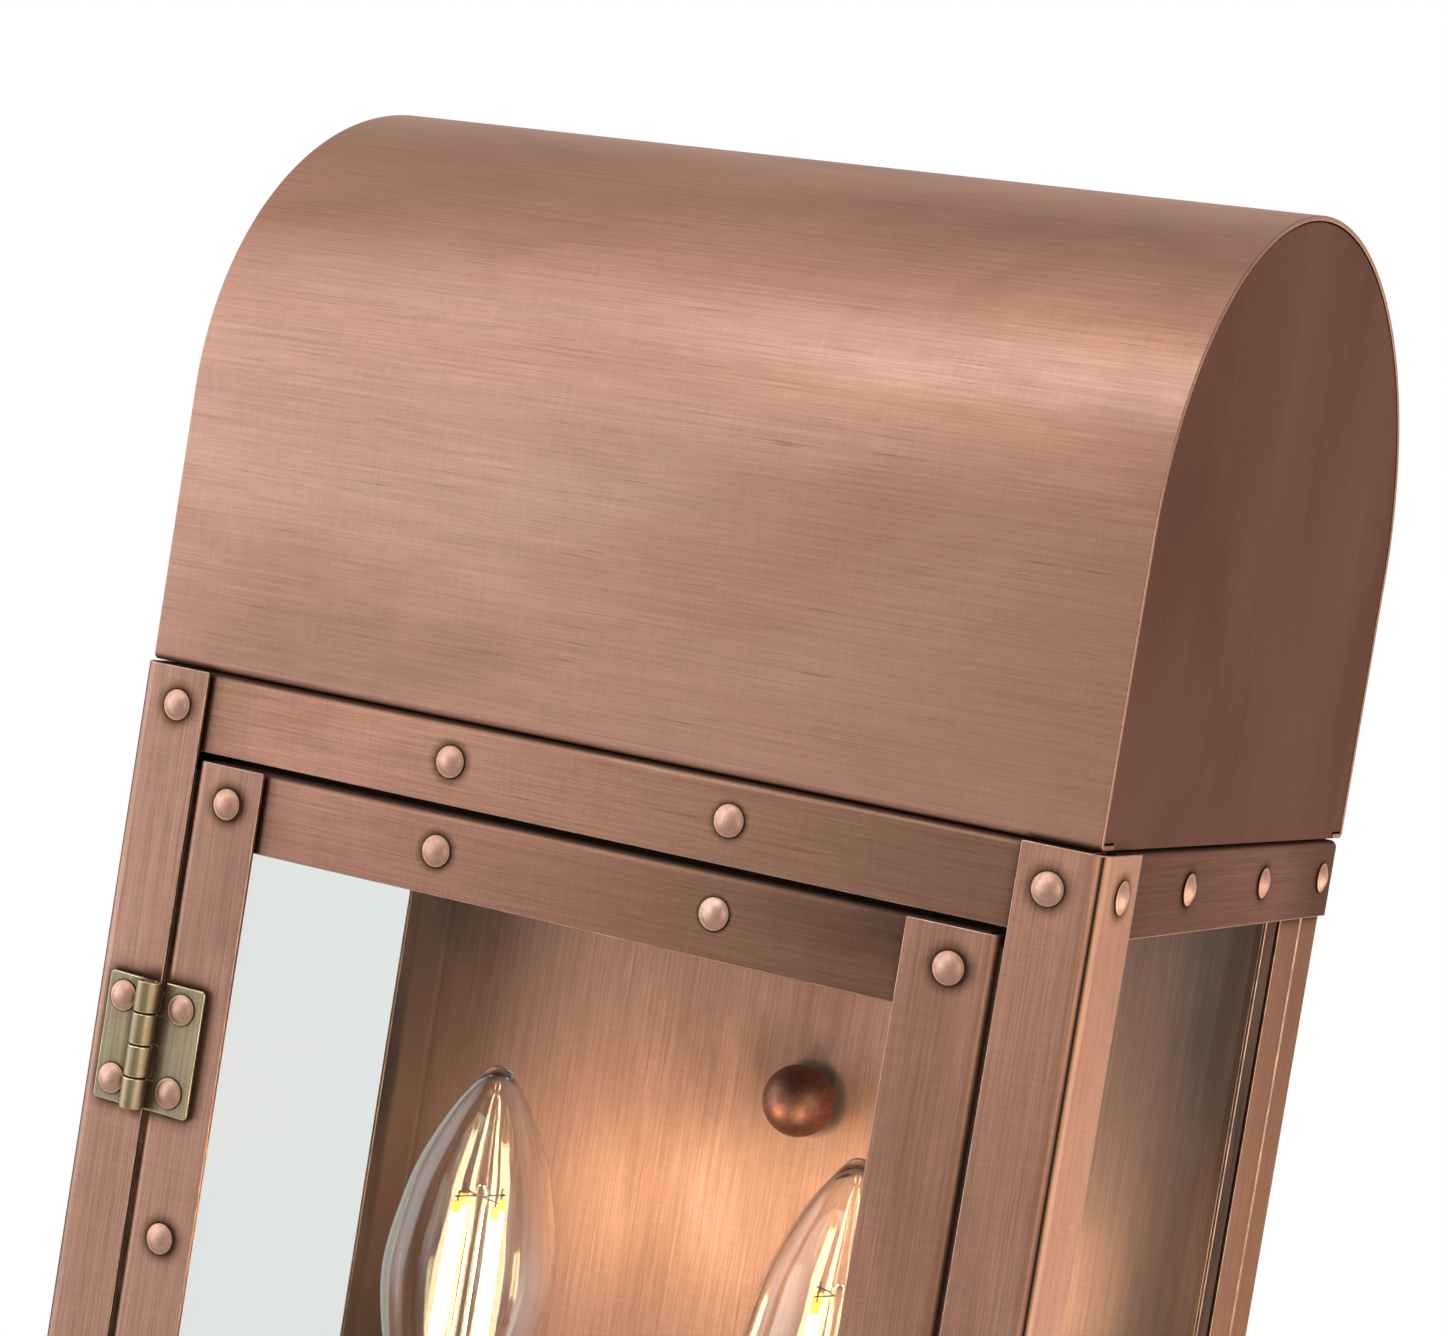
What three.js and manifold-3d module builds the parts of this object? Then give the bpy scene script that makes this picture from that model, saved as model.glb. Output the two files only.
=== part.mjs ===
// Riveted copper wall lantern with a round-topped hood, a hinged glass door and two candle lamps.
// Millimetres. The origin is on the wall face of the mounting bar, at its centre.
// +X is right seen from the front, +Y goes into the wall, so the front faces -Y, and +Z is up.
import * as THREE from "three";
import { mergeVertices } from "three/addons/utils/BufferGeometryUtils.js";
import Module from "manifold-3d";

const wasm = await Module();
wasm.setup();

// ---- driving dimensions ----
const WIDTH = 203; // over the front posts
const DEPTH = 138.5; // from the wall to the front face of the posts
const FRAME_HEIGHT = 305; // the glazed frame, without the hood
const POST_SHEET = 1; // sheet of the posts, stiles and hood
const STRIP_SHEET = 0.8; // sheet of the rails, pan and plates
const GAP = 0.3; // between pieces that lie on each other
const BEND_RADIUS = 3.2; // outer radius of the folded posts

const POST_FRONT = 15.75; // flange seen from the front
const POST_SIDE = 17.7; // flange seen from the side
const RAIL_HEIGHT = 15.5;
const RAIL_FLANGE = 8; // inward flange of each rail
const STRIP_BEND = 1.4; // outer radius of the folded rails
const STOP = { depth: 7.8, height: 4.5, reach: 92.5 }; // lip on the front rails that the door shuts against
const REAR_POST_SIDE = 25.9;
const REAR_POST_STEP = { from: 13.3, depth: 0.3 }; // thinner front part of its side flange
const REAR_POST_BACK = 16;
const RAIL_REAR_GAP = 3.2; // from the wall to the rear ends of the side rails
const REAR_POST_GAP = 1.6; // from the wall to the rear posts

const RIVET_RADIUS = 3;
const RIVET_HEIGHT = 1.2;
const RIVET_INSET = 7.4; // from a frame end to the rivets in it
const RIVET_SPREAD = 29.6; // of the pair in each front rail, from the middle
const SIDE_RIVETS = [-90.1, -47.3, -10]; // along Y, in each side rail

const HOOD_GAP = 0.5; // between the frame and the hood
const HOOD_WIDTH = 200;
const HOOD_FRONT_INSET = 1;
const HOOD_WALL = 53.5; // straight part below the round top
const HOOD_RISE = 64; // of the round top
const HOOD_HEM = 6; // inward fold along the lower edges

const DOOR_LEFT = -85;
const DOOR_RIGHT = 84.5;
const DOOR_HEIGHT = 271;
const DOOR_STILE_LEFT = 15.3;
const DOOR_STILE_RIGHT = 17.5;
const DOOR_RAIL = 15.6;
const DOOR_FOLD = 8; // depth of the folded edges
const FOLD_BEND = 2; // outer radius of the folded stiles and pan
const DOOR_RIVET_INSET = 7.3;
const STILE_RIVET = 8.1; // from a stile's outer edge to its rivets
const GLASS = 2.5; // thickness of the panes
const CHANNEL_DEPTH = 13; // of the strips that hold the side panes

const HINGE_HEIGHT = 25.4;
const HINGE_AXIS_X = -86.5;
const HINGE_CENTRE_Z = 79.25; // of the upper hinge; the lower one mirrors it
const HINGE_RADIUS = 2.4; // of the barrel
const HINGE_PIN = 1.2; // radius
const HINGE_LEAF = 1; // sheet
const LEAF_LEFT = -97;
const LEAF_RIGHT = -74.4;
const LEAF_RIVETS_X = [-93.1, -79.2];
const LEAF_RIVET_SPREAD = 8.2;
const KNUCKLES = 4;

const PANEL_FRONT = -17; // front face of the back panel
const PAN_EDGE = -33.5; // front edge of the pan's side flanges
const STUD_SPREAD = 77.5; // of the two wall studs, above and below the origin
const STUD_RADIUS = 2;
const BALL_RADIUS = 7.75;
const BAR = { width: 22, sheet: 2.5, height: 190, slot: 44.5 };

const LAMP_X = 41; // each lamp's distance from the middle
const LAMP_Y = -80.5;
const LAMP_TIP = 80.5; // top of the bulb glass
const BULB_RADIUS = 17.75;
const BULB_RISE = 44; // from the widest place to the tip
const NECK_Z = 1; // lower edge of the bulb glass
const CAP_RADIUS = 5.9;
const CAP_BOTTOM = -15.5;
const SLEEVE = { radius: 11, wall: 0.9, top: 0.5, bottom: -98 };
const CUP = { radius: 17, bottom: -106 };

// ---- derived places ----
const HALF = WIDTH / 2;
const FRONT = -DEPTH;
const TOP = FRAME_HEIGHT / 2;
const RAIL_FRONT = FRONT + POST_SHEET + GAP; // outer face of the front rails
const RAIL_SIDE = HALF - POST_SHEET - GAP; // outer face of the side rails
const REAR_POST_X = RAIL_SIDE - STRIP_SHEET - GAP;
const PAN_X = REAR_POST_X - STRIP_SHEET - GAP;
const PLATE_Z = TOP - 2 * STRIP_SHEET - GAP; // lower face of the top plate
const DOOR_TOP = DOOR_HEIGHT / 2;
const HINGE_AXIS_Y = FRONT - GAP - HINGE_RADIUS;

// ---- finishes ----
const finish = (colour, roughness, metalness) =>
  new THREE.MeshStandardMaterial({ color: colour, roughness, metalness });
const COPPER = finish(0xa8745f, 0.38, 1);
const DARK_COPPER = finish(0x6d4436, 0.5, 1);
const BRASS = finish(0x96804f, 0.4, 1);
const CLEAR = finish(0xe6ecec, 0.05, 0);
const STEEL = finish(0xb4b6b8, 0.35, 1);
const NICKEL = finish(0xc9c4b8, 0.3, 1);
const IVORY = finish(0xe9dfc6, 0.55, 0);
const PHENOLIC = finish(0x1d1b1a, 0.6, 0);
const FILAMENT = finish(0xffd27a, 0.5, 0);
const INSULATION = finish(0x24211f, 0.6, 0);

// ---- solids ----
const V2 = (x, y) => new THREE.Vector2(x, y);

function signedVolume(position, index) {
  const corner = (i) => new THREE.Vector3().fromBufferAttribute(position, index[i]);
  let sum = 0;
  for (let i = 0; i < index.length; i += 3) {
    sum += corner(i).dot(corner(i + 1).cross(corner(i + 2)));
  }
  return sum / 6;
}

// A closed geometry as a manifold solid with its faces pointing out.
function solid(geometry) {
  const bare = geometry.clone();
  bare.deleteAttribute("normal");
  bare.deleteAttribute("uv");
  const merged = mergeVertices(bare, 1e-3);
  const triangles = new Uint32Array(merged.index.array);
  if (signedVolume(merged.attributes.position, triangles) < 0) {
    for (let i = 0; i < triangles.length; i += 3) {
      [triangles[i + 1], triangles[i + 2]] = [triangles[i + 2], triangles[i + 1]];
    }
  }
  return new wasm.Manifold(
    new wasm.Mesh({
      numProp: 3,
      vertProperties: merged.attributes.position.array,
      triVerts: triangles,
    }),
  );
}

function geometryOf(manifold) {
  const mesh = manifold.getMesh();
  const geometry = new THREE.BufferGeometry();
  geometry.setAttribute("position", new THREE.BufferAttribute(mesh.vertProperties, 3));
  geometry.setIndex(new THREE.BufferAttribute(mesh.triVerts, 1));
  geometry.computeVertexNormals();
  return geometry;
}

const join = (first, ...more) =>
  geometryOf(more.reduce((body, piece) => body.add(solid(piece)), solid(first)));
const cut = (first, ...tools) =>
  geometryOf(tools.reduce((body, tool) => body.subtract(solid(tool)), solid(first)));
const mirrorX = (geometry) => geometryOf(solid(geometry.clone().scale(-1, 1, 1)));
const mirrorZ = (geometry) => geometryOf(solid(geometry.clone().scale(1, 1, -1)));

function box(x0, x1, y0, y1, z0, z1) {
  const made = new THREE.BoxGeometry(x1 - x0, y1 - y0, z1 - z0);
  return made.translate((x0 + x1) / 2, (y0 + y1) / 2, (z0 + z1) / 2);
}

const extruded = (points, length) =>
  new THREE.ExtrudeGeometry(new THREE.Shape(points), { depth: length, bevelEnabled: false });

// An outline of (x, y) points, drawn out along Z.
const alongZ = (points, z0, z1) => extruded(points, z1 - z0).translate(0, 0, z0);

// An outline of (y, z) points, drawn out along X.
function alongX(points, x0, x1) {
  const turn = new THREE.Matrix4().makeBasis(
    new THREE.Vector3(0, 1, 0),
    new THREE.Vector3(0, 0, 1),
    new THREE.Vector3(1, 0, 0),
  );
  return extruded(points, x1 - x0).applyMatrix4(turn).translate(x0, 0, 0);
}

// An outline of (x, z) points, drawn out along Y.
function alongY(points, y0, y1) {
  return extruded(points, y1 - y0).rotateX(Math.PI / 2).translate(0, y1, 0);
}

// A turned solid about Z from (radius, z) points that start and end on the axis or close on themselves.
const turned = (points, sides = 16) => new THREE.LatheGeometry(points, sides).rotateX(Math.PI / 2);

const ring = (outer, inner, z0, z1, sides) =>
  turned([V2(inner, z0), V2(outer, z0), V2(outer, z1), V2(inner, z1), V2(inner, z0)], sides);

const rod = (radius, z0, z1, sides) =>
  turned([V2(0, z0), V2(radius, z0), V2(radius, z1), V2(0, z1)], sides);

function arc(cx, cy, rx, ry, from, to, steps) {
  const points = [];
  for (let i = 0; i <= steps; i++) {
    const angle = from + ((to - from) * i) / steps;
    points.push(V2(cx + rx * Math.cos(angle), cy + ry * Math.sin(angle)));
  }
  return points;
}

// A folded angle: its corner is at (0, 0), one flange goes to -x and the other to +y.
function angleOutline(flangeX, flangeY, sheet, radius) {
  const inner = radius - sheet;
  return [
    V2(-flangeX, 0),
    ...arc(-radius, radius, radius, radius, -Math.PI / 2, 0, 5),
    V2(0, flangeY),
    V2(-sheet, flangeY),
    ...arc(-radius, radius, inner, inner, 0, -Math.PI / 2, 4),
    V2(-flangeX, sheet),
  ];
}

const placed = (points, x, y, sx = 1, sy = 1) => points.map((p) => V2(x + sx * p.x, y + sy * p.y));

// ---- rivets ----
// A domed head that faces +Z, with a short stem into the sheet below z = 0.
function rivetHead() {
  const sphere = (RIVET_RADIUS ** 2 + RIVET_HEIGHT ** 2) / (2 * RIVET_HEIGHT);
  const rim = Math.asin((RIVET_HEIGHT - sphere) / -sphere);
  const dome = arc(0, RIVET_HEIGHT - sphere, sphere, sphere, rim, Math.PI / 2, 2);
  dome[dome.length - 1].x = 0;
  return turned([V2(0, -0.5), V2(RIVET_RADIUS, -0.5), ...dome], 10);
}

const frontRivet = (x, y, z) => rivetHead().rotateX(Math.PI / 2).translate(x, y, z);
const sideRivet = (x, y, z) => rivetHead().rotateY(Math.PI / 2).translate(x, y, z);

// ---- the assembly ----
const lantern = new THREE.Group();
lantern.name = "wall_lantern";

function add(name, geometry, material) {
  const mesh = new THREE.Mesh(geometryOf(solid(geometry)), material);
  mesh.name = name;
  lantern.add(mesh);
}

function addPair(name, rightGeometry, material) {
  add(name + "_right", rightGeometry, material);
  add(name + "_left", mirrorX(rightGeometry), material);
}

// ---- frame: four posts and six rails ----
function frontPost() {
  const outline = angleOutline(POST_FRONT, POST_SIDE, POST_SHEET, BEND_RADIUS);
  const z = TOP - RIVET_INSET;
  const x = HALF - 9.55;
  const y = FRONT + 10.2;
  return join(
    alongZ(placed(outline, HALF, FRONT), -TOP, TOP),
    frontRivet(x, FRONT, z),
    frontRivet(x, FRONT, -z),
    sideRivet(HALF, y, z),
    sideRivet(HALF, y, -z),
  );
}

function rearPost() {
  const { from, depth } = REAR_POST_STEP;
  const angle = angleOutline(REAR_POST_BACK, REAR_POST_SIDE, STRIP_SHEET, BEND_RADIUS);
  const outline = angle.flatMap((p) =>
    p.x === 0 && p.y === REAR_POST_SIDE ? [V2(0, from), V2(-depth, from), V2(-depth, REAR_POST_SIDE)] : [p],
  );
  const end = TOP - STRIP_SHEET - GAP;
  return alongZ(placed(outline, REAR_POST_X, -REAR_POST_GAP, 1, -1), -end, end);
}

// The front rail's lower edge folds inward, then down behind the door.
function topFrontRail() {
  const s = STRIP_SHEET;
  const outline = angleOutline(RAIL_FLANGE, RAIL_HEIGHT, s, STRIP_BEND);
  const stopOutline = [
    V2(0, RAIL_HEIGHT),
    V2(-STOP.depth, RAIL_HEIGHT),
    V2(-STOP.depth, RAIL_HEIGHT + STOP.height),
    V2(-STOP.depth - s, RAIL_HEIGHT + STOP.height),
    V2(-STOP.depth - s, RAIL_HEIGHT - s),
    V2(0, RAIL_HEIGHT - s),
  ];
  const reach = HALF - BEND_RADIUS - GAP;
  const z = TOP - RIVET_INSET;
  return join(
    alongX(placed(outline, RAIL_FRONT, TOP, -1, -1), -reach, reach),
    alongX(placed(stopOutline, RAIL_FRONT, TOP, -1, -1), -STOP.reach, STOP.reach),
    frontRivet(RIVET_SPREAD, RAIL_FRONT, z),
    frontRivet(-RIVET_SPREAD, RAIL_FRONT, z),
  );
}

// The side rail's flange stops behind the front rail's, and its face runs on as a tongue.
function topSideRail() {
  const outline = angleOutline(RAIL_FLANGE, RAIL_HEIGHT, STRIP_SHEET, STRIP_BEND);
  const flangeStart = RAIL_FRONT + RAIL_FLANGE + 3 * GAP;
  const strip = alongY(placed(outline, RAIL_SIDE, TOP, 1, -1), flangeStart, -RAIL_REAR_GAP);
  const tongue = box(
    RAIL_SIDE - STRIP_SHEET,
    RAIL_SIDE,
    RAIL_FRONT + 2,
    flangeStart + 2,
    TOP - RAIL_HEIGHT,
    TOP - STRIP_BEND,
  );
  const z = TOP - RIVET_INSET;
  return join(strip, tongue, ...SIDE_RIVETS.map((y) => sideRivet(RAIL_SIDE, y, z)));
}

function addFrame() {
  addPair("post_front", frontPost(), COPPER);
  addPair("post_rear", rearPost(), COPPER);
  add("rail_front_top", topFrontRail(), COPPER);
  add("rail_front_bottom", mirrorZ(topFrontRail()), COPPER);
  addPair("rail_side_top", topSideRail(), COPPER);
  addPair("rail_side_bottom", mirrorZ(topSideRail()), COPPER);
}

// ---- plates that close the frame ----
function topPlate() {
  const reach = PAN_X;
  const sheet = box(-reach, reach, RAIL_FRONT + 1.1, PANEL_FRONT - GAP, PLATE_Z, PLATE_Z + STRIP_SHEET);
  const lip = box(-66, 66, -113, -41, PLATE_Z, TOP + 5);
  const vent = box(-65, 65, -112, -42, PLATE_Z - 1, TOP + 6);
  return cut(join(sheet, lip), vent);
}

function floorPlate() {
  const reach = PAN_X;
  const sheet = box(-reach, reach, RAIL_FRONT + 1.1, PANEL_FRONT - GAP, -PLATE_Z - STRIP_SHEET, -PLATE_Z);
  const drains = [-1, 1].flatMap((side) =>
    [-110, -50].map((y) => rod(3, -TOP - 2, -TOP + 6, 12).translate(side * 80, y, 0)),
  );
  return cut(sheet, rod(5.4, -TOP - 2, -TOP + 6, 16).translate(0, LAMP_Y, 0), ...drains);
}

// The back panel is a pan: a flat panel with a flange folded forward along each side.
function backPanel() {
  const end = PLATE_Z - GAP;
  const flange = PANEL_FRONT - PAN_EDGE + STRIP_SHEET;
  const outline = angleOutline(PAN_X, flange, STRIP_SHEET, FOLD_BEND);
  const half = alongZ(placed(outline, PAN_X, PANEL_FRONT + STRIP_SHEET, 1, -1), -end, end);
  const studHole = (z) => rod(STUD_RADIUS + GAP, -4, 4, 16).rotateX(Math.PI / 2).translate(0, PANEL_FRONT, z);
  const cableHole = rod(4.5, -4, 4, 16).rotateX(Math.PI / 2).translate(0, PANEL_FRONT, -112);
  return cut(join(half, mirrorX(half)), studHole(STUD_SPREAD), studHole(-STUD_SPREAD), cableHole);
}

// ---- hood: one bent sheet and two flat ends ----
const HOOD_BOTTOM = TOP + HOOD_GAP;
const HOOD_FRONT = FRONT + HOOD_FRONT_INSET;
const HOOD_MIDDLE = HOOD_FRONT / 2;
const HOOD_SPRING = HOOD_BOTTOM + HOOD_WALL; // where the round top starts

function hoodArch(inset, steps) {
  const halfDepth = -HOOD_FRONT / 2 - inset;
  return arc(HOOD_MIDDLE, HOOD_SPRING, halfDepth, HOOD_RISE - inset, 0, Math.PI, steps);
}

function hoodShell() {
  const inner = POST_SHEET;
  const outline = [
    V2(-HOOD_HEM, HOOD_BOTTOM),
    V2(0, HOOD_BOTTOM),
    ...hoodArch(0, 40),
    V2(HOOD_FRONT, HOOD_BOTTOM),
    V2(HOOD_FRONT + HOOD_HEM, HOOD_BOTTOM),
    V2(HOOD_FRONT + HOOD_HEM, HOOD_BOTTOM + inner),
    V2(HOOD_FRONT + inner, HOOD_BOTTOM + inner),
    ...hoodArch(inner, 40).reverse(),
    V2(-inner, HOOD_BOTTOM + inner),
    V2(-HOOD_HEM, HOOD_BOTTOM + inner),
  ];
  return alongX(outline, -HOOD_WIDTH / 2, HOOD_WIDTH / 2);
}

// The ends reach down between the hems of the shell.
function hoodEnd() {
  const inset = POST_SHEET + GAP;
  const notch = HOOD_HEM + GAP;
  const outline = [
    V2(-notch, HOOD_BOTTOM),
    V2(-notch, HOOD_BOTTOM + inset),
    V2(-inset, HOOD_BOTTOM + inset),
    ...hoodArch(inset, 40),
    V2(HOOD_FRONT + inset, HOOD_BOTTOM + inset),
    V2(HOOD_FRONT + notch, HOOD_BOTTOM + inset),
    V2(HOOD_FRONT + notch, HOOD_BOTTOM),
  ];
  const x = HOOD_WIDTH / 2 - 0.2;
  return alongX(outline, x - POST_SHEET, x);
}

// A stepped bracket that ties each hood end down to the top plate.
function hoodBracket() {
  const s = STRIP_SHEET;
  const foot = PLATE_Z + s + GAP;
  const face = HOOD_WIDTH / 2 - 0.2 - POST_SHEET - GAP;
  const riser = RAIL_SIDE - RAIL_FLANGE - 1;
  const shelf = TOP + 8;
  const outline = [
    V2(riser - 10, foot),
    V2(riser, foot),
    V2(riser, shelf),
    V2(face, shelf),
    V2(face, shelf + 16),
    V2(face - s, shelf + 16),
    V2(face - s, shelf + s),
    V2(riser - s, shelf + s),
    V2(riser - s, foot + s),
    V2(riser - 10, foot + s),
  ];
  return alongY(outline, LAMP_Y - 10, LAMP_Y + 30);
}

function addHood() {
  add("hood_shell", hoodShell(), COPPER);
  addPair("hood_end", hoodEnd(), COPPER);
  addPair("hood_bracket", hoodBracket(), STEEL);
}

// ---- side panes ----
const PANE_X = PAN_X - STRIP_SHEET - GAP; // outer face of the side panes
const PANE_TOP = PLATE_Z - 2 * GAP;

function sidePane() {
  return box(PANE_X - GLASS, PANE_X, RAIL_FRONT + 4, PANEL_FRONT - 2, -PANE_TOP, PANE_TOP);
}

// A U-shaped strip behind each front post that holds the front edge of the pane.
function paneChannel() {
  const s = STRIP_SHEET;
  const x0 = PANE_X - GLASS - GAP - s;
  const x1 = RAIL_SIDE - s - GAP;
  const y0 = RAIL_FRONT + 4 - GAP - s;
  const slot = box(PANE_X - GLASS - GAP, PANE_X + GAP, y0 + s, y0 + CHANNEL_DEPTH + 2, -TOP, TOP);
  return cut(box(x0, x1, y0, y0 + CHANNEL_DEPTH, -PANE_TOP, PANE_TOP), slot);
}

// ---- wall mounting ----
function mountingBar() {
  const { width, sheet, height, slot } = BAR;
  const boxSlot = (z) =>
    join(
      rod(2.3, -4, 4, 12).rotateX(Math.PI / 2).translate(-4, -1, z),
      rod(2.3, -4, 4, 12).rotateX(Math.PI / 2).translate(4, -1, z),
      box(-4, 4, -5, 3, z - 2.3, z + 2.3),
    );
  const studHole = (z) => rod(STUD_RADIUS + GAP, -4, 4, 16).rotateX(Math.PI / 2).translate(0, -1, z);
  return cut(
    box(-width / 2, width / 2, -sheet, 0, -height / 2, height / 2),
    boxSlot(slot),
    boxSlot(-slot),
    studHole(STUD_SPREAD),
    studHole(-STUD_SPREAD),
  );
}

const BALL_SEAT = PANEL_FRONT - GAP; // flat rear of the ball nuts
const BALL_Y = BALL_SEAT - 6.6;

function wallStud(z) {
  return rod(STUD_RADIUS, 0.2, 3.5 - BALL_Y - 4, 16).rotateX(Math.PI / 2).translate(0, 0, z);
}

function ballNut(z) {
  const seat = BALL_SEAT - BALL_Y;
  const rim = Math.asin(seat / BALL_RADIUS);
  const profile = arc(0, 0, BALL_RADIUS, BALL_RADIUS, -rim, Math.PI / 2, 8);
  profile[profile.length - 1].x = 0;
  const bore = rod(STUD_RADIUS + GAP, -BALL_RADIUS, 1, 12);
  const ball = cut(turned([V2(0, -seat), ...profile], 16), bore);
  return ball.rotateX(Math.PI / 2).translate(0, BALL_Y, z);
}

function addMounting() {
  add("back_panel", backPanel(), COPPER);
  add("mounting_bar", mountingBar(), STEEL);
  [["top", STUD_SPREAD], ["bottom", -STUD_SPREAD]].forEach(([end, z]) => {
    add("wall_stud_" + end, wallStud(z), STEEL);
    add("ball_nut_" + end, ballNut(z), DARK_COPPER);
  });
}

// ---- lamp cluster: stem, hub, two arms, two candles ----
const HUB_Z = -118;

function clusterStem() {
  const floor = -PLATE_Z + GAP;
  const top = HUB_Z - 8 - GAP;
  return turned([
    V2(0, -TOP + 1),
    V2(5, -TOP + 1),
    V2(5, floor),
    V2(10, floor),
    V2(10, floor + 3),
    V2(5.5, floor + 5),
    V2(4.6, floor + 12),
    V2(6.5, top),
    V2(0, top),
  ]);
}

function clusterHub() {
  return turned([
    V2(0, HUB_Z - 8),
    V2(9, HUB_Z - 8),
    ...arc(9, HUB_Z, 5, 8, -Math.PI / 2, Math.PI / 2, 6),
    V2(4.5, HUB_Z + 9),
    ...arc(0, HUB_Z + 14, 5, 5, -0.9, Math.PI / 2, 6).slice(0, -1),
    V2(0, HUB_Z + 19),
  ]);
}

function clusterArm() {
  const path = new THREE.CatmullRomCurve3([
    new THREE.Vector3(14.6, 0, HUB_Z),
    new THREE.Vector3(17, 0, HUB_Z),
    new THREE.Vector3(25, 0, HUB_Z - 5),
    new THREE.Vector3(35, 0, HUB_Z - 4),
    new THREE.Vector3(LAMP_X - 0.5, 0, HUB_Z + 4),
    new THREE.Vector3(LAMP_X, 0, CUP.bottom - GAP - 0.4),
  ]);
  const section = new THREE.Shape(arc(0, 0, 3.6, 3.6, 0, 2 * Math.PI * (7 / 8), 7));
  const tube = new THREE.ExtrudeGeometry(section, { steps: 10, extrudePath: path });
  const collar = rod(6, CUP.bottom - GAP - 3, CUP.bottom - GAP, 16).translate(LAMP_X, 0, 0);
  return join(tube, collar).translate(0, LAMP_Y, 0);
}

function candleCup() {
  const { radius, bottom } = CUP;
  const floor = SLEEVE.bottom - GAP;
  return turned([
    V2(0, bottom),
    V2(7, bottom),
    V2(radius - 2, floor - 1.5),
    V2(radius, floor + 2),
    V2(radius - 1.2, floor + 2.3),
    V2(radius - 3, floor),
    V2(0, floor),
  ]).translate(LAMP_X, LAMP_Y, 0);
}

function candleSleeve() {
  const { radius, wall, top, bottom } = SLEEVE;
  return ring(radius, radius - wall, bottom, top, 24).translate(LAMP_X, LAMP_Y, 0);
}

function lampSocket() {
  const bore = CAP_RADIUS + 0.5;
  const foot = SLEEVE.bottom;
  return turned([
    V2(0, foot),
    V2(4, foot),
    V2(4, -31),
    V2(9, -31),
    V2(9, -1),
    V2(bore, -1),
    V2(bore, CAP_BOTTOM - 3.2),
    V2(0, CAP_BOTTOM - 3.2),
  ]).translate(LAMP_X, LAMP_Y, 0);
}

// ---- bulbs ----
const WIDEST_Z = LAMP_TIP - BULB_RISE;

function bulbProfile(inset, steps) {
  const outline = new THREE.SplineCurve([
    V2(6.7, NECK_Z),
    V2(7.4, NECK_Z + 3),
    V2(10.6, NECK_Z + 10),
    V2(15, NECK_Z + 20),
    V2(BULB_RADIUS, WIDEST_Z),
    V2(15.6, LAMP_TIP - 29),
    V2(12.9, LAMP_TIP - 19.6),
    V2(8.5, LAMP_TIP - 10),
    V2(5.3, LAMP_TIP - 5),
    V2(2.4, LAMP_TIP - 1),
    V2(0, LAMP_TIP),
  ]);
  const points = outline.getPoints(steps).map((p) => V2(Math.max(p.x - inset, 0), p.y));
  points[points.length - 1].x = 0;
  return points;
}

function bulbGlass() {
  const wall = 0.9;
  const outer = bulbProfile(0, 12);
  const inner = bulbProfile(wall, 12)
    .filter((p) => p.x > 2)
    .map((p) => V2(p.x, Math.min(p.y, LAMP_TIP - 2)));
  const top = V2(0, inner[inner.length - 1].y + 0.6);
  return turned([...outer, top, ...inner.reverse(), outer[0].clone()], 16);
}

function bulbCap() {
  return turned([
    V2(0, CAP_BOTTOM),
    V2(3.2, CAP_BOTTOM),
    V2(CAP_RADIUS - 0.4, CAP_BOTTOM + 3),
    V2(CAP_RADIUS, CAP_BOTTOM + 4),
    V2(CAP_RADIUS, NECK_Z - 2),
    V2(6.6, NECK_Z - 1),
    V2(6.6, NECK_Z - GAP),
    V2(0, NECK_Z - GAP),
  ]);
}

// The glass stem inside the bulb with its four upright filaments.
function bulbStem() {
  const z = NECK_Z;
  const low = z + 16;
  const high = z + 52;
  const wire = 0.4;
  const column = turned(
    [V2(0, z), V2(4.6, z), V2(2, z + 11), V2(1.4, z + 20), V2(1.4, high + 2), V2(0, high + 2)],
    12,
  );
  const wires = [low, high].flatMap((level) => [
    box(-5.6, 5.6, -wire, wire, level, level + 2 * wire),
    box(-wire, wire, -5.6, 5.6, level, level + 2 * wire),
  ]);
  const strands = [0, 1, 2, 3].map((i) =>
    rod(0.8, low, high + wire, 6).translate(5, 0, 0).rotateZ((i * Math.PI) / 2),
  );
  return join(column, ...wires, ...strands);
}

function tipContact() {
  return rod(2.4, CAP_BOTTOM - 2, CAP_BOTTOM - GAP, 12);
}

function addLamps() {
  add("cluster_stem", clusterStem().translate(0, LAMP_Y, 0), COPPER);
  add("cluster_hub", clusterHub().translate(0, LAMP_Y, 0), COPPER);
  addPair("cluster_arm", clusterArm(), COPPER);
  addPair("candle_cup", candleCup(), COPPER);
  addPair("candle_sleeve", candleSleeve(), IVORY);
  addPair("lamp_socket", lampSocket(), PHENOLIC);
  addPair("bulb_glass", bulbGlass().translate(LAMP_X, LAMP_Y, 0), CLEAR);
  addPair("bulb_cap", bulbCap().translate(LAMP_X, LAMP_Y, 0), NICKEL);
  addPair("bulb_stem", bulbStem().translate(LAMP_X, LAMP_Y, 0), FILAMENT);
  addPair("bulb_tip", tipContact().translate(LAMP_X, LAMP_Y, 0), NICKEL);
}

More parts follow.
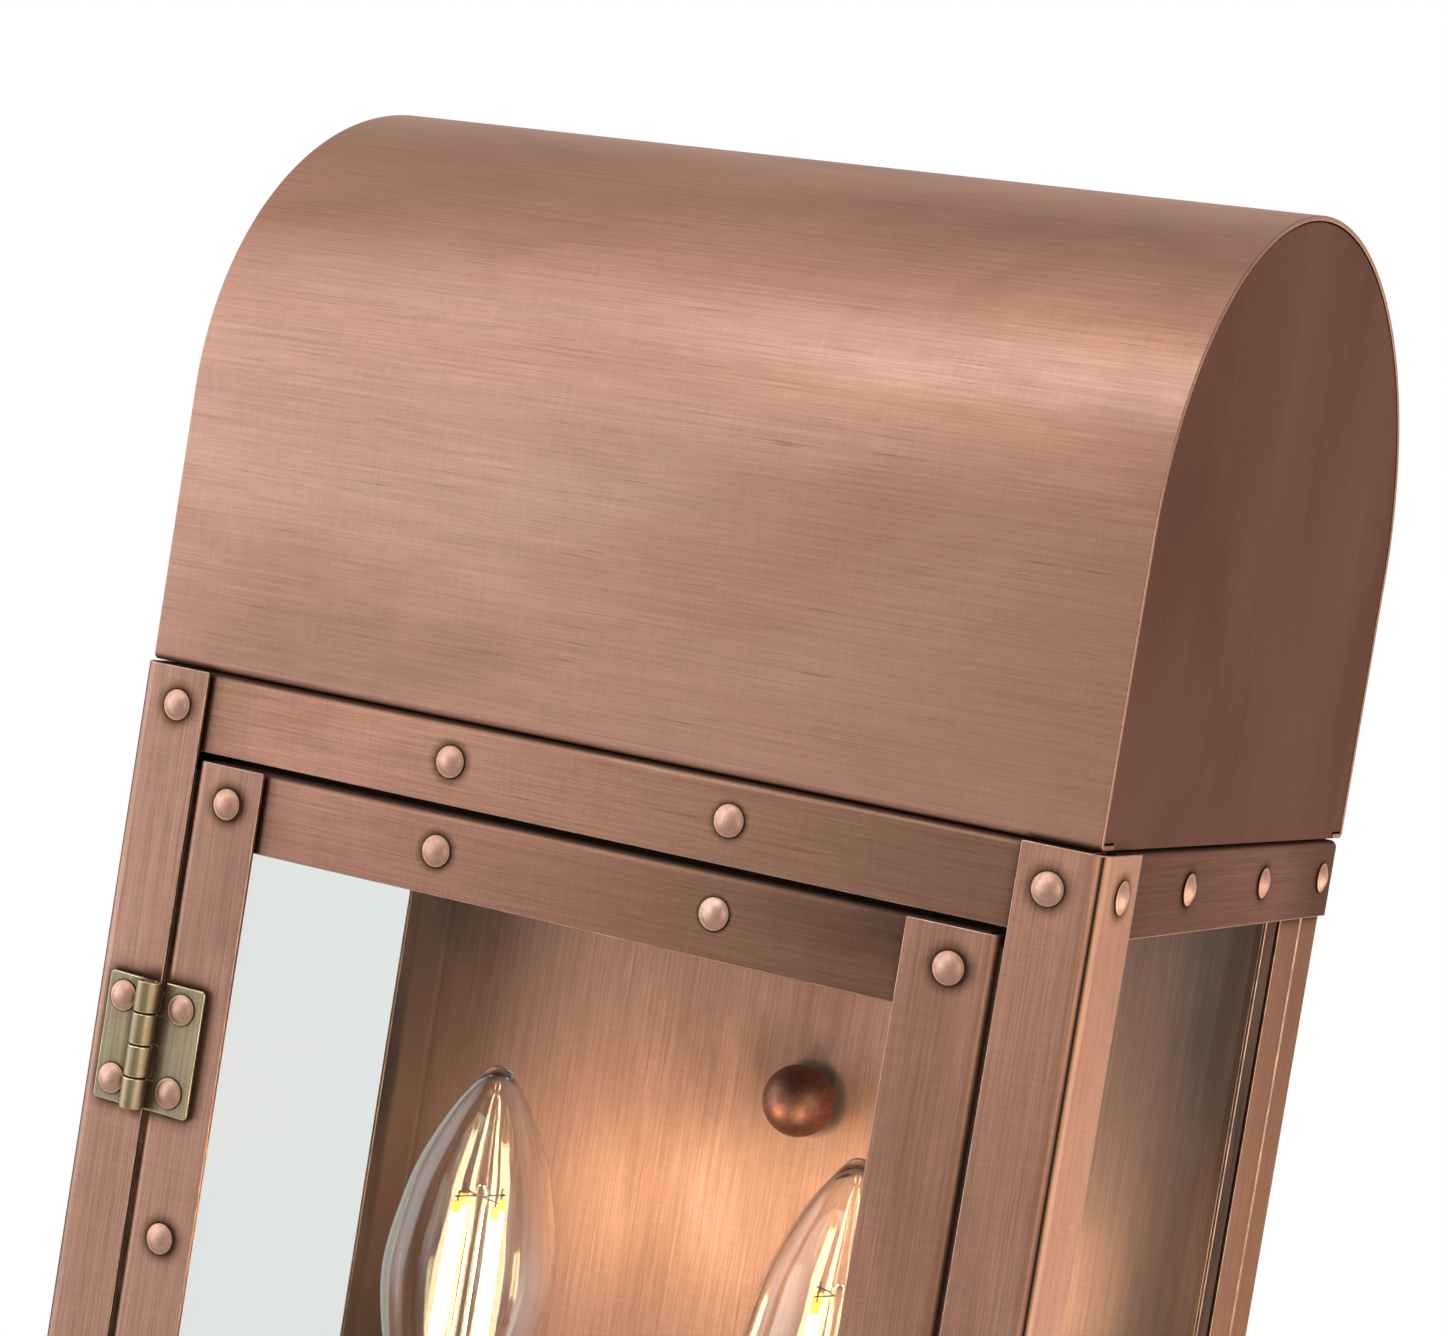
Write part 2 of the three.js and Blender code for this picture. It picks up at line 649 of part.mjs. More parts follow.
// The supply lead runs from the wall through the back panel to the hub.
function supplyLead() {
  const path = new THREE.CatmullRomCurve3([
    new THREE.Vector3(0, -4, -104),
    new THREE.Vector3(0, -12, -110),
    new THREE.Vector3(0, PANEL_FRONT, -112),
    new THREE.Vector3(0, -30, -113),
    new THREE.Vector3(0, -48, -116.5),
    new THREE.Vector3(0, LAMP_Y + 18, HUB_Z),
    new THREE.Vector3(0, LAMP_Y + 15, HUB_Z),
  ]);
  const section = new THREE.Shape(arc(0, 0, 2.6, 2.6, 0, 2 * Math.PI * (7 / 8), 7));
  return new THREE.ExtrudeGeometry(section, { steps: 10, extrudePath: path });
}

// ---- door ----
// A stile whose outer edge is at +x = edge.
function doorStile(edge, width) {
  const outline = angleOutline(width, DOOR_FOLD, POST_SHEET, FOLD_BEND);
  const step = (DOOR_HEIGHT - 2 * DOOR_RIVET_INSET) / 3;
  const rivets = [0, 1, 2, 3].map((i) =>
    frontRivet(edge - STILE_RIVET, FRONT, DOOR_TOP - DOOR_RIVET_INSET - i * step),
  );
  return join(alongZ(placed(outline, edge, FRONT), -DOOR_TOP, DOOR_TOP), ...rivets);
}

function doorTopRail() {
  const fold = DOOR_FOLD - POST_SHEET - GAP;
  const outline = angleOutline(fold, DOOR_RAIL, STRIP_SHEET, STRIP_BEND);
  const x0 = DOOR_LEFT + FOLD_BEND;
  const x1 = DOOR_RIGHT - FOLD_BEND;
  const z = DOOR_TOP - DOOR_RIVET_INSET;
  return join(
    alongX(placed(outline, RAIL_FRONT, DOOR_TOP, -1, -1), x0, x1),
    frontRivet(RIVET_SPREAD, RAIL_FRONT, z),
    frontRivet(-RIVET_SPREAD, RAIL_FRONT, z),
  );
}

const DOOR_GLASS_FRONT = RAIL_FRONT + STRIP_SHEET + GAP;

function doorGlass() {
  const y0 = DOOR_GLASS_FRONT;
  const z = DOOR_TOP - STRIP_SHEET - 2 * GAP;
  const edge = POST_SHEET + 2 * GAP;
  return box(DOOR_LEFT + edge, DOOR_RIGHT - edge, y0, y0 + GLASS, -z, z);
}

function doorKnob() {
  const profile = [
    V2(0, GAP),
    V2(3.4, GAP),
    V2(3.4, 1.4),
    V2(2, 2.2),
    V2(2, 4.4),
    ...arc(0, 8.4, 4.8, 4.2, -1.1, Math.PI / 2, 6).slice(0, -1),
    V2(0, 12.6),
  ];
  const x = DOOR_RIGHT - DOOR_STILE_RIGHT / 2;
  return turned(profile).rotateX(Math.PI / 2).translate(x, FRONT, 0);
}

const STRIKE_Y = FRONT + DOOR_FOLD + GAP; // front face of the strike plate

function strikePlate() {
  const x1 = DOOR_RIGHT - POST_SHEET - GAP;
  const plate = box(DOOR_RIGHT - 12, DOOR_RIGHT - 0.2, STRIKE_Y, STRIKE_Y + 1, -9, 9);
  const tab = box(x1 - 0.8, x1, STRIKE_Y - 2.9, STRIKE_Y + 0.5, -9, 9);
  return join(plate, tab);
}

// A magnet held behind the strike plate by an arm from the right post.
function doorCatch() {
  const y0 = STRIKE_Y + 1 + GAP;
  const postInside = FRONT + POST_SHEET + GAP;
  const outer = DOOR_RIGHT + 8;
  const block = box(DOOR_RIGHT - 11, DOOR_RIGHT - 1, y0, y0 + 6, -8, 8);
  const arm = box(DOOR_RIGHT - 11, outer, y0 + 5, y0 + 6, -6, 6);
  const foot = box(outer - 1, outer, postInside, y0 + 6, -6, 6);
  const pad = box(outer - 5, outer, postInside, postInside + 1, -6, 6);
  return join(block, arm, foot, pad);
}

function addDoor() {
  add("door_stile_left", mirrorX(doorStile(-DOOR_LEFT, DOOR_STILE_LEFT)), COPPER);
  add("door_stile_right", doorStile(DOOR_RIGHT, DOOR_STILE_RIGHT), COPPER);
  add("door_rail_top", doorTopRail(), COPPER);
  add("door_rail_bottom", mirrorZ(doorTopRail()), COPPER);
  add("door_glass", doorGlass(), CLEAR);
  add("door_knob", doorKnob(), DARK_COPPER);
  add("door_strike", strikePlate(), STEEL);
  add("door_catch", doorCatch(), PHENOLIC);
}

// ---- hinges: two leaves with interleaved knuckles on a pin ----
const KNUCKLE = HINGE_HEIGHT / KNUCKLES;

// side is -1 for the leaf on the post and 1 for the leaf on the door.
function hingeLeaf(side, centre) {
  const y1 = HINGE_AXIS_Y + HINGE_RADIUS;
  const y0 = y1 - HINGE_LEAF;
  const outer = side < 0 ? LEAF_LEFT : LEAF_RIGHT;
  const clear = HINGE_AXIS_X + side * (HINGE_RADIUS + 0.5);
  const bottom = centre - HINGE_HEIGHT / 2;
  const span = (a, b) => [Math.min(a, b), Math.max(a, b)];
  const pieces = [];
  const bores = [];
  for (let i = side < 0 ? 1 : 0; i < KNUCKLES; i += 2) {
    const z0 = bottom + i * KNUCKLE + GAP / 2;
    const z1 = z0 + KNUCKLE - GAP;
    pieces.push(rod(HINGE_RADIUS, z0, z1, 14).translate(HINGE_AXIS_X, HINGE_AXIS_Y, 0));
    pieces.push(box(...span(HINGE_AXIS_X, clear + side), y0, y1, z0, z1));
    bores.push(rod(HINGE_PIN + 0.1, z0 - 1, z1 + 1, 12).translate(HINGE_AXIS_X, HINGE_AXIS_Y, 0));
  }
  const plate = box(...span(clear, outer), y0, y1, bottom, bottom + HINGE_HEIGHT);
  const rivetX = LEAF_RIVETS_X[side < 0 ? 0 : 1];
  const rivets = [-LEAF_RIVET_SPREAD, LEAF_RIVET_SPREAD].map((dz) => frontRivet(rivetX, y0, centre + dz));
  return cut(join(plate, ...pieces, ...rivets), ...bores);
}

function hingePin(centre) {
  const half = HINGE_HEIGHT / 2;
  return rod(HINGE_PIN, centre - half, centre + half, 12).translate(HINGE_AXIS_X, HINGE_AXIS_Y, 0);
}

function addHinges() {
  [["top", HINGE_CENTRE_Z], ["bottom", -HINGE_CENTRE_Z]].forEach(([end, z]) => {
    add("hinge_leaf_frame_" + end, hingeLeaf(-1, z), BRASS);
    add("hinge_leaf_door_" + end, hingeLeaf(1, z), BRASS);
    add("hinge_pin_" + end, hingePin(z), BRASS);
  });
}

addFrame();
add("top_plate", topPlate(), COPPER);
add("floor_plate", floorPlate(), COPPER);
addHood();
addPair("side_glass", sidePane(), CLEAR);
addPair("glass_channel", paneChannel(), DARK_COPPER);
addMounting();
addLamps();
add("supply_lead", supplyLead(), INSULATION);
addDoor();
addHinges();

export default lantern;
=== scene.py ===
"""The looks of a brushed copper wall lantern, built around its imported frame.

Metres, in the frame's axes: +X right seen from the front, +Y into the wall, +Z up.
"""

import math

import bmesh
import bpy
from mathutils import Matrix, Vector


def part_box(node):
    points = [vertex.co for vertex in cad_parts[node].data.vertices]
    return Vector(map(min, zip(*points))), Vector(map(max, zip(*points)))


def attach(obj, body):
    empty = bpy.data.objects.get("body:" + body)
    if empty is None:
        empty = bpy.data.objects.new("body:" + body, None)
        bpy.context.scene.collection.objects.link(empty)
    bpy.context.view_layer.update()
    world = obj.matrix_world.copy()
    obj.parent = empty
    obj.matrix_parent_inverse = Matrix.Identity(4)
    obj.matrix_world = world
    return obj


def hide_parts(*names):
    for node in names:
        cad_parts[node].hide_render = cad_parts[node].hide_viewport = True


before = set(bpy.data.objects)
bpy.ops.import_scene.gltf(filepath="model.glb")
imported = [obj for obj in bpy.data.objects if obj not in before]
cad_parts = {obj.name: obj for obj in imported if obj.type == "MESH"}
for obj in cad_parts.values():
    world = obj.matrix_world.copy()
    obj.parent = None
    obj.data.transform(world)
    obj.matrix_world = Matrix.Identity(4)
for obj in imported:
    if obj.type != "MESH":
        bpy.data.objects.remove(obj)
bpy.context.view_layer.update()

MM = 0.001

# ---- sizes that the frame doesn't hold ----
POST_SHEET = 1.0 * MM
STRIP_SHEET = 0.8 * MM
RIVET_RADIUS = 3.0 * MM
RIVET_HEIGHT = 1.2 * MM
BEND = 3.2 * MM  # outer radius of the folded posts
STRIP_BEND = 1.4 * MM
FOLD_BEND = 2.0 * MM
EDGE = 0.22 * MM  # width of the worn edge round each sheet
HOOD_EDGE = 0.46 * MM
HINGE_EDGE = 0.28 * MM
RAIL_HEIGHT = 15.5 * MM
RAIL_FLANGE = 8 * MM
REAR_STEP = 13.3 * MM  # the front part of the rear posts is thinner
REAR_STEP_DEPTH = 0.3 * MM
STOP_DEPTH = 7.8 * MM  # of the lip that the door shuts against
STOP_HEIGHT = 4.5 * MM
STOP_REACH = 92.5 * MM
HOOD_WALL = 53.5 * MM  # height of its flat sides
HOOD_HEM = 6 * MM
HOOD_CORNER = 1.3 * MM
DOOR_RAIL = 15.6 * MM
RIVET_INSET = 7.4 * MM
POST_RIVET_X = 9.55 * MM  # from the post's corner
POST_RIVET_Y = 10.2 * MM
DOOR_RIVET_INSET = 7.3 * MM
RIVET_SPREAD = 29.6 * MM
SIDE_RAIL_SETBACK = 9.2 * MM  # behind the front rails
SIDE_RIVETS = (-90.1 * MM, -47.3 * MM, -10 * MM)
STILE_RIVET = 8.1 * MM  # from a stile's outer edge
DOOR_FOLD = 8 * MM
HINGE_HEIGHT = 25.4 * MM
HINGE_RADIUS = 2.4 * MM  # of the knuckles
HINGE_PIN = 1.2 * MM
HINGE_LEAF = 1.0 * MM
LEAF_RIVET_X = {"frame": -93.1 * MM, "door": -79.2 * MM}
LEAF_RIVET_SPREAD = 8.2 * MM
KNUCKLES = 4
THREAD_PITCH = 2.54 * MM
BULB_WALL = 0.7 * MM
GAP = 0.3 * MM  # between pieces that meet but don't touch


def low(node):
    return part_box(node)[0]


def high(node):
    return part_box(node)[1]


def centre(node):
    return (low(node) + high(node)) / 2


# ---- places read from the frame ----
HALF = high("post_front_right").x - RIVET_HEIGHT
FRONT = low("post_front_right").y + RIVET_HEIGHT
TOP = high("post_front_right").z
POST_FRONT = HALF - low("post_front_right").x
POST_SIDE = high("post_front_right").y - FRONT
RAIL_FRONT = low("rail_front_top").y + RIVET_HEIGHT
RAIL_SIDE = high("rail_side_top_right").x - RIVET_HEIGHT
RAIL_REACH = high("rail_front_top").x
RAIL_REAR = high("rail_side_top_right").y
DOOR_LEFT = low("door_stile_left").x
DOOR_RIGHT = high("door_stile_right").x
DOOR_TOP = high("door_stile_right").z
STILE_LEFT = high("door_stile_left").x - DOOR_LEFT
STILE_RIGHT = DOOR_RIGHT - low("door_stile_right").x
HINGE_X = centre("hinge_pin_top").x
HINGE_Y = centre("hinge_pin_top").y
FRAME_RIVET_Z = TOP - RIVET_INSET


# ---- material helpers ----
class Shader:
    """A node material with short calls for adding and joining nodes."""

    def __init__(self, name):
        self.material = bpy.data.materials.new(name)
        self.material.use_nodes = True
        self.tree = self.material.node_tree
        self.surface = self.tree.nodes["Principled BSDF"]
        self.output = self.tree.nodes["Material Output"]
        self.place = self.add("ShaderNodeTexCoord").outputs["Object"]

    def add(self, kind, **settings):
        node = self.tree.nodes.new(kind)
        for key, value in settings.items():
            setattr(node, key, value)
        return node

    def join(self, source, target):
        self.tree.links.new(source, target)

    def feed(self, socket, value):
        """Joins another socket to this one or sets a plain value on it."""
        if isinstance(value, bpy.types.NodeSocket):
            self.join(value, socket)
        else:
            socket.default_value = value

    def set(self, **values):
        for name, value in values.items():
            self.surface.inputs[name.replace("_", " ")].default_value = value

    def drive(self, name, source):
        self.join(source, self.surface.inputs[name])

    def noise(self, scale, detail=3.0, roughness=0.55, distortion=0.0):
        """Noise whose frequency per metre is given for X, Y and Z."""
        mapping = self.add("ShaderNodeMapping")
        mapping.inputs["Scale"].default_value = scale
        self.join(self.place, mapping.inputs["Vector"])
        noise = self.add("ShaderNodeTexNoise")
        values = {"Scale": 1.0, "Detail": detail, "Roughness": roughness, "Distortion": distortion}
        for key, value in values.items():
            noise.inputs[key].default_value = value
        self.join(mapping.outputs["Vector"], noise.inputs["Vector"])
        return noise.outputs["Fac"]

    def spread(self, source, in_low, in_high, out_low=0.0, out_high=1.0):
        node = self.add("ShaderNodeMapRange")
        self.join(source, node.inputs["Value"])
        values = {"From Min": in_low, "From Max": in_high, "To Min": out_low, "To Max": out_high}
        for key, value in values.items():
            node.inputs[key].default_value = value
        return node.outputs["Result"]

    def maths(self, operation, first, second=0.0):
        node = self.add("ShaderNodeMath", operation=operation)
        for socket, value in zip(node.inputs, (first, second)):
            self.feed(socket, value)
        return node.outputs["Value"]

    def blend(self, factor, first, second, kind="MIX"):
        """A mix of two colours, each a socket or a linear RGB tuple."""
        node = self.add("ShaderNodeMix", data_type="RGBA", blend_type=kind)
        self.feed(node.inputs["Factor"], factor)
        colours = [socket for socket in node.inputs if socket.type == "RGBA"]
        for socket, value in zip(colours, (first, second)):
            self.feed(socket, (*value, 1.0) if isinstance(value, tuple) else value)
        return [socket for socket in node.outputs if socket.type == "RGBA"][0]

    def product(self, first, second):
        """Two colours multiplied."""
        return self.blend(1.0, first, second, "MULTIPLY")

    def bump(self, height, strength, depth):
        node = self.add("ShaderNodeBump")
        node.inputs["Strength"].default_value = strength
        node.inputs["Distance"].default_value = depth
        self.join(height, node.inputs["Height"])
        self.drive("Normal", node.outputs["Normal"])

    def axis(self, letter):
        node = self.add("ShaderNodeSeparateXYZ")
        self.join(self.place, node.inputs["Vector"])
        return node.outputs[letter]

    def crevices(self, reach):
        """0 in the open and towards 1 in corners and beside overlapping pieces."""
        # Ambient occlusion: what this drives is tarnish in the hollows and painted shade together.
        node = self.add("ShaderNodeAmbientOcclusion", samples=6)
        node.inputs["Distance"].default_value = reach
        return self.spread(node.outputs["AO"], 0.975, 0.76)

    def halo(self, centres):
        """Tarnish that the brush leaves round rivets, mirrored left to right and top to bottom."""
        folded = self.add("ShaderNodeVectorMath", operation="ABSOLUTE")
        self.join(self.place, folded.inputs[0])
        nearest = None
        for point in centres:
            away = self.add("ShaderNodeVectorMath", operation="DISTANCE")
            self.join(folded.outputs["Vector"], away.inputs[0])
            away.inputs[1].default_value = point
            distance = away.outputs["Value"]
            nearest = self.maths("MINIMUM", nearest, distance) if nearest else distance
        faded = self.spread(nearest, RIVET_RADIUS + 2.6 * MM, RIVET_RADIUS)
        return self.maths("POWER", faded, 1.6)

    def brush(self, grain, amount):
        """Spreads highlights at right angles to the brushing."""
        along_grain = self.add("ShaderNodeVectorTransform", convert_from="OBJECT", convert_to="WORLD")
        along_grain.inputs["Vector"].default_value = [1.0 if letter == grain else 0.0 for letter in "XYZ"]
        self.join(along_grain.outputs["Vector"], self.surface.inputs["Tangent"])
        self.set(Anisotropic=amount, Anisotropic_Rotation=0.25)


# ---- materials ----
# each finish's dark, middle and light colour
COPPER = ((0.40, 0.175, 0.105), (0.62, 0.297, 0.18), (0.74, 0.40, 0.265))
BRASS = ((0.24, 0.17, 0.08), (0.52, 0.385, 0.195), (0.72, 0.56, 0.31))
UMBER = ((0.32, 0.155, 0.118), (0.50, 0.245, 0.192), (0.60, 0.32, 0.26))
PALE = ((0.44, 0.22, 0.155), (0.68, 0.365, 0.265), (0.78, 0.46, 0.36))
# the dark colour of tarnish, also used for painted shade
PATINA_AND_SHADE = (0.058, 0.037, 0.026)
GLANCING = (0.84, 0.66, 0.58, 1.0)  # tint of what metal mirrors at a low angle
CORNER_TARNISH_AND_SHADE = 3.4 * MM  # how far the tarnish and painted shade reach out of corners
GLASS_IOR = 1.5


def along(letter, run, across):
    """A noise scale that is drawn out along one axis."""
    return tuple(run if a == letter else across for a in "XYZ")


def brushed_metal(
    name, grain, tone=1.0, corner_tarnish_and_shade_amount=0.9, ends=(), rings=(), roughness=0.42, coat=0.6, finish=COPPER,
    metallic=1.0, shade_behind_posts=False, streaks=0.4, spread=0.85
):
    """Satin metal brushed along one axis, darker in its corners, at its ends and round its rivets.

    Each of the ends is (axis, middle, half, reach, amount): darkening grows to that amount over the last
    reach before half, both measured from the middle. Near a piece's ends it is tarnish; the rail fades and
    the panel's flange and side zones are painted shade. The rings are rivet centres without their signs.
    The flag for the faces behind the front posts' sheet darkens them all over as painted shade. Darkening in
    the corners is tarnish and painted shade together. Streaks is the contrast of the brushing, and spread is
    how far it draws out highlights.
    """
    look = Shader(name)
    hair = look.noise(along(grain, 45, 3600), 2.0, 0.6)
    line = look.noise(along(grain, 16, 1500), 2.0, 0.6)
    cloud = look.noise(along(grain, 8, 20), 4.0, 0.55, 0.5)
    across = look.noise(tuple(2600 if a != grain else 120 for a in "XYZ"), 2.0, 0.7)
    weave = look.noise(tuple(2200 if a == grain else 170 for a in "XYZ"), 1.0)
    lines = look.maths("ADD", look.maths("MULTIPLY", hair, 0.4), look.maths("MULTIPLY", line, 0.26))
    lines = look.maths("ADD", lines, look.maths("MULTIPLY", across, 0.22))
    lines = look.maths("ADD", lines, look.maths("MULTIPLY", weave, 0.12))
    dark, mid, light = (tuple(c * tone for c in colour) for colour in finish)
    lower = look.blend(look.spread(cloud, 0.25, 0.5), dark, mid)
    colour = look.blend(look.spread(cloud, 0.5, 0.78), lower, light)
    deep = tuple(1.04 - streaks * c for c in (1.0, 1.05, 1.1))
    brushed = look.blend(look.spread(lines, 0.36, 0.64), deep, (1.04, 1.04, 1.04))
    colour = look.product(colour, brushed)
    scratch = look.noise(along(grain, 60, 2300), 1.0)
    colour = look.blend(look.spread(scratch, 0.69, 0.8, 0.0, 0.45), colour, tuple(c * 0.3 for c in finish[1]))
    # tarnish and painted shade in the corners, from ambient occlusion
    dirt_and_shade = look.maths("MULTIPLY", look.crevices(CORNER_TARNISH_AND_SHADE), corner_tarnish_and_shade_amount)
    # tarnish near the pieces' ends, and painted shade from the rail fades and the panel's zones
    for letter, middle, half, reach, amount in ends:
        away = look.maths("ABSOLUTE", look.maths("SUBTRACT", look.axis(letter), middle))
        near_end = look.spread(away, half - reach, half, 0.0, amount)
        ragged = look.maths("MULTIPLY", near_end, look.spread(cloud, 0.3, 0.7, 0.5, 1.2))
        dirt_and_shade = look.maths("MAXIMUM", dirt_and_shade, ragged)
    if rings:
        uneven = look.spread(lines, 0.3, 0.7, 1.0, 0.8)
        dirt_and_shade = look.maths("MAXIMUM", dirt_and_shade, look.maths("MULTIPLY", look.halo(rings), uneven))
    # painted shade: every face behind the front posts' sheet is darkened fully
    if shade_behind_posts:
        depth_x = look.maths("SUBTRACT", HALF, look.maths("ABSOLUTE", look.axis("X")))
        depth = look.maths("MINIMUM", depth_x, look.maths("SUBTRACT", look.axis("Y"), FRONT))
        dirt_and_shade = look.maths("MAXIMUM", dirt_and_shade, look.spread(depth, 0.4 * POST_SHEET, 0.9 * POST_SHEET))
    look.drive("Base Color", look.blend(dirt_and_shade, colour, PATINA_AND_SHADE))
    satin = look.spread(lines, 0.3, 0.7, roughness + 0.05, roughness - 0.05)
    look.drive("Roughness", look.maths("MAXIMUM", satin, look.maths("MULTIPLY", dirt_and_shade, 0.85)))
    look.drive("Coat Weight", look.spread(dirt_and_shade, 0.0, 0.5, coat, 0.0))
    look.set(Metallic=metallic, Coat_Roughness=0.26, Coat_IOR=1.7, Specular_Tint=GLANCING)
    look.brush(grain, spread)
    look.bump(lines, 0.12, 0.04 * MM)
    return look.material


def worn_edge(name, colour, roughness):
    """Bare metal where handling has rubbed the tarnish off an edge."""
    look = Shader(name)
    wear = look.spread(look.noise((260, 260, 260), 3.0), 0.35, 0.65)
    look.drive("Base Color", look.blend(wear, tuple(c * 0.62 for c in colour), colour))
    look.set(Metallic=1.0)
    look.drive("Roughness", look.spread(wear, 0, 1, roughness + 0.1, roughness))
    return look.material


def aged_metal(name, light, dark, roughness, speckle=900):
    """Cast or turned metal with a soft mottle and darker corners."""
    look = Shader(name)
    mottle = look.noise((speckle,) * 3, 4.0, 0.62)
    cloud = look.noise((110, 110, 110), 3.0)
    level = look.maths("ADD", look.maths("MULTIPLY", mottle, 0.5), look.maths("MULTIPLY", cloud, 0.5))
    colour = look.blend(look.spread(level, 0.38, 0.62), dark, light)
    # tarnish and painted shade in the corners, from ambient occlusion
    dirt_and_shade = look.maths("MULTIPLY", look.crevices(2.2 * MM), 0.8)
    look.drive("Base Color", look.blend(dirt_and_shade, colour, PATINA_AND_SHADE))
    look.drive("Roughness", look.spread(level, 0.35, 0.65, roughness + 0.1, roughness - 0.06))
    look.set(Metallic=1.0)
    look.bump(level, 0.25, 0.06 * MM)
    return look.material


def let_lamps_through(look, tint):
    """Shadow rays pass the glass, so that the lamps behind it light what is in front."""
    clear = look.add("ShaderNodeBsdfTransparent")
    clear.inputs["Color"].default_value = (*tint, 1.0)
    path = look.add("ShaderNodeLightPath")
    mix = look.add("ShaderNodeMixShader")
    look.join(path.outputs["Is Shadow Ray"], mix.inputs["Fac"])
    look.join(look.surface.outputs["BSDF"], mix.inputs[1])
    look.join(clear.outputs["BSDF"], mix.inputs[2])
    look.join(mix.outputs["Shader"], look.output.inputs["Surface"])


def glass(name, colour, smear):
    """Blown glass that bends light, with a faint uneven film."""
    look = Shader(name)
    film = look.noise((60, 60, 60), 4.0)
    look.drive("Roughness", look.spread(film, 0.45, 0.75, 0.0, smear))
    look.set(Base_Color=(*colour, 1.0), IOR=GLASS_IOR, Transmission_Weight=1.0)
    let_lamps_through(look, colour)
    return look.material


def clear_pane(name, tint):
    """Flat glass: rays pass straight through, and more is mirrored at a low angle."""
    look = Shader(name)
    film = look.noise((35, 35, 12), 4.0)
    look.drive("Roughness", look.spread(film, 0.4, 0.7, 0.02, 0.08))
    look.set(Base_Color=(0.95, 0.96, 0.96, 1.0), Metallic=1.0)
    clear = look.add("ShaderNodeBsdfTransparent")
    clear.inputs["Color"].default_value = (*tint, 1.0)
    slant = look.add("ShaderNodeLayerWeight").outputs["Facing"]
    steep = look.maths("MULTIPLY", look.maths("POWER", slant, 5.0), 0.16)
    mix = look.add("ShaderNodeMixShader")
    look.join(look.maths("ADD", steep, 0.008), mix.inputs["Fac"])
    look.join(clear.outputs["BSDF"], mix.inputs[1])
    look.join(look.surface.outputs["BSDF"], mix.inputs[2])
    look.join(mix.outputs["Shader"], look.output.inputs["Surface"])
    return look.material


def glowing(name, colour, strength, ripple):
    """A lit coating. Ripple is the brightness of its dimmer grains."""
    look = Shader(name)
    grain = look.spread(look.noise((1400, 1400, 500), 2.0), 0.3, 0.7)
    look.drive("Base Color", look.blend(grain, tuple(c * 0.8 for c in colour), colour))
    look.drive("Emission Color", look.blend(grain, tuple(c * ripple for c in colour), colour))
    look.set(Emission_Strength=strength, Roughness=0.5)
    return look.material


def moulded(name, colour, roughness):
    """Plastic or coated card with a fine pebbled surface."""
    look = Shader(name)
    texture = look.noise((1500, 1500, 1500), 3.0)
    shade = look.blend(look.spread(texture, 0.35, 0.65), tuple(c * 0.82 for c in colour), colour)
    # dirt and painted shade in the corners, from ambient occlusion
    dirt_and_shade = look.maths("MULTIPLY", look.crevices(3 * MM), 0.5)
    look.drive("Base Color", look.blend(dirt_and_shade, shade, (0.03, 0.025, 0.02)))
    look.drive("Roughness", look.spread(texture, 0.3, 0.7, roughness - 0.06, roughness + 0.08))
    look.bump(texture, 0.12, 0.05 * MM)
    return look.material


def floor_paint():
    look = Shader("studio_floor")
    grain = look.noise((6, 6, 6), 4.0)
    look.drive("Base Color", look.blend(look.spread(grain, 0.3, 0.7), (0.80, 0.80, 0.79), (0.84, 0.84, 0.83)))
    look.set(Roughness=0.8)
    return look.material


def door_rivet_heights():
    step = 2 * (DOOR_TOP - DOOR_RIVET_INSET) / 3
    return [DOOR_TOP - DOOR_RIVET_INSET - i * step for i in range(4)]


RAIL_ENDS = ("X", 0.0, HALF - POST_FRONT, 12 * MM, 0.5)
# painted shade: the front rails darken towards their right-hand end
RAIL_SHADE_FADE = ("X", -90 * MM, 170 * MM, 150 * MM, 0.48)
DOOR_ENDS = ("X", (DOOR_LEFT + DOOR_RIGHT) / 2, (DOOR_RIGHT - DOOR_LEFT) / 2 - 15 * MM, 12 * MM, 0.5)
# painted shade: the door rails darken towards their right-hand end
DOOR_SHADE_FADE = ("X", -90 * MM, 155 * MM, 140 * MM, 0.75)
# painted shade: the back panel's side flanges darken towards their front edges
PANEL_FLANGE_SHADE = ("Y", 0.0, 29 * MM, 10.5 * MM, 0.95)
# painted shade: the back panel darkens towards its left and right edges
PANEL_SIDE_SHADE = ("X", 0.0, 84 * MM, 30 * MM, 0.75)
SIDE_ENDS = ("Y", (FRONT + RAIL_REAR) / 2, (RAIL_REAR - FRONT) / 2 - 12 * MM, 22 * MM, 0.5)
POST_RINGS = [
    (HALF - POST_RIVET_X, -FRONT, FRAME_RIVET_Z),
    (HALF, -FRONT - POST_RIVET_Y, FRAME_RIVET_Z),
]
STILE_RINGS = [(abs(x), -FRONT, z) for x in (DOOR_LEFT + STILE_RIVET, DOOR_RIGHT - STILE_RIVET)
               for z in door_rivet_heights()[:2]]
RAIL_RINGS = [(RIVET_SPREAD, -RAIL_FRONT, FRAME_RIVET_Z)]
DOOR_RAIL_RINGS = [(RIVET_SPREAD, -RAIL_FRONT, DOOR_TOP - DOOR_RIVET_INSET)]
SIDE_RINGS = [(RAIL_SIDE, -y, FRAME_RIVET_Z) for y in SIDE_RIVETS]
hood_copper = brushed_metal("hood_copper", "X", 0.97, 0.5, streaks=0.3)
hood_end_copper = brushed_metal(
    "hood_end_copper", "Z", 0.43, 0.5, coat=0.0, finish=UMBER, streaks=0.14, spread=0.0
)
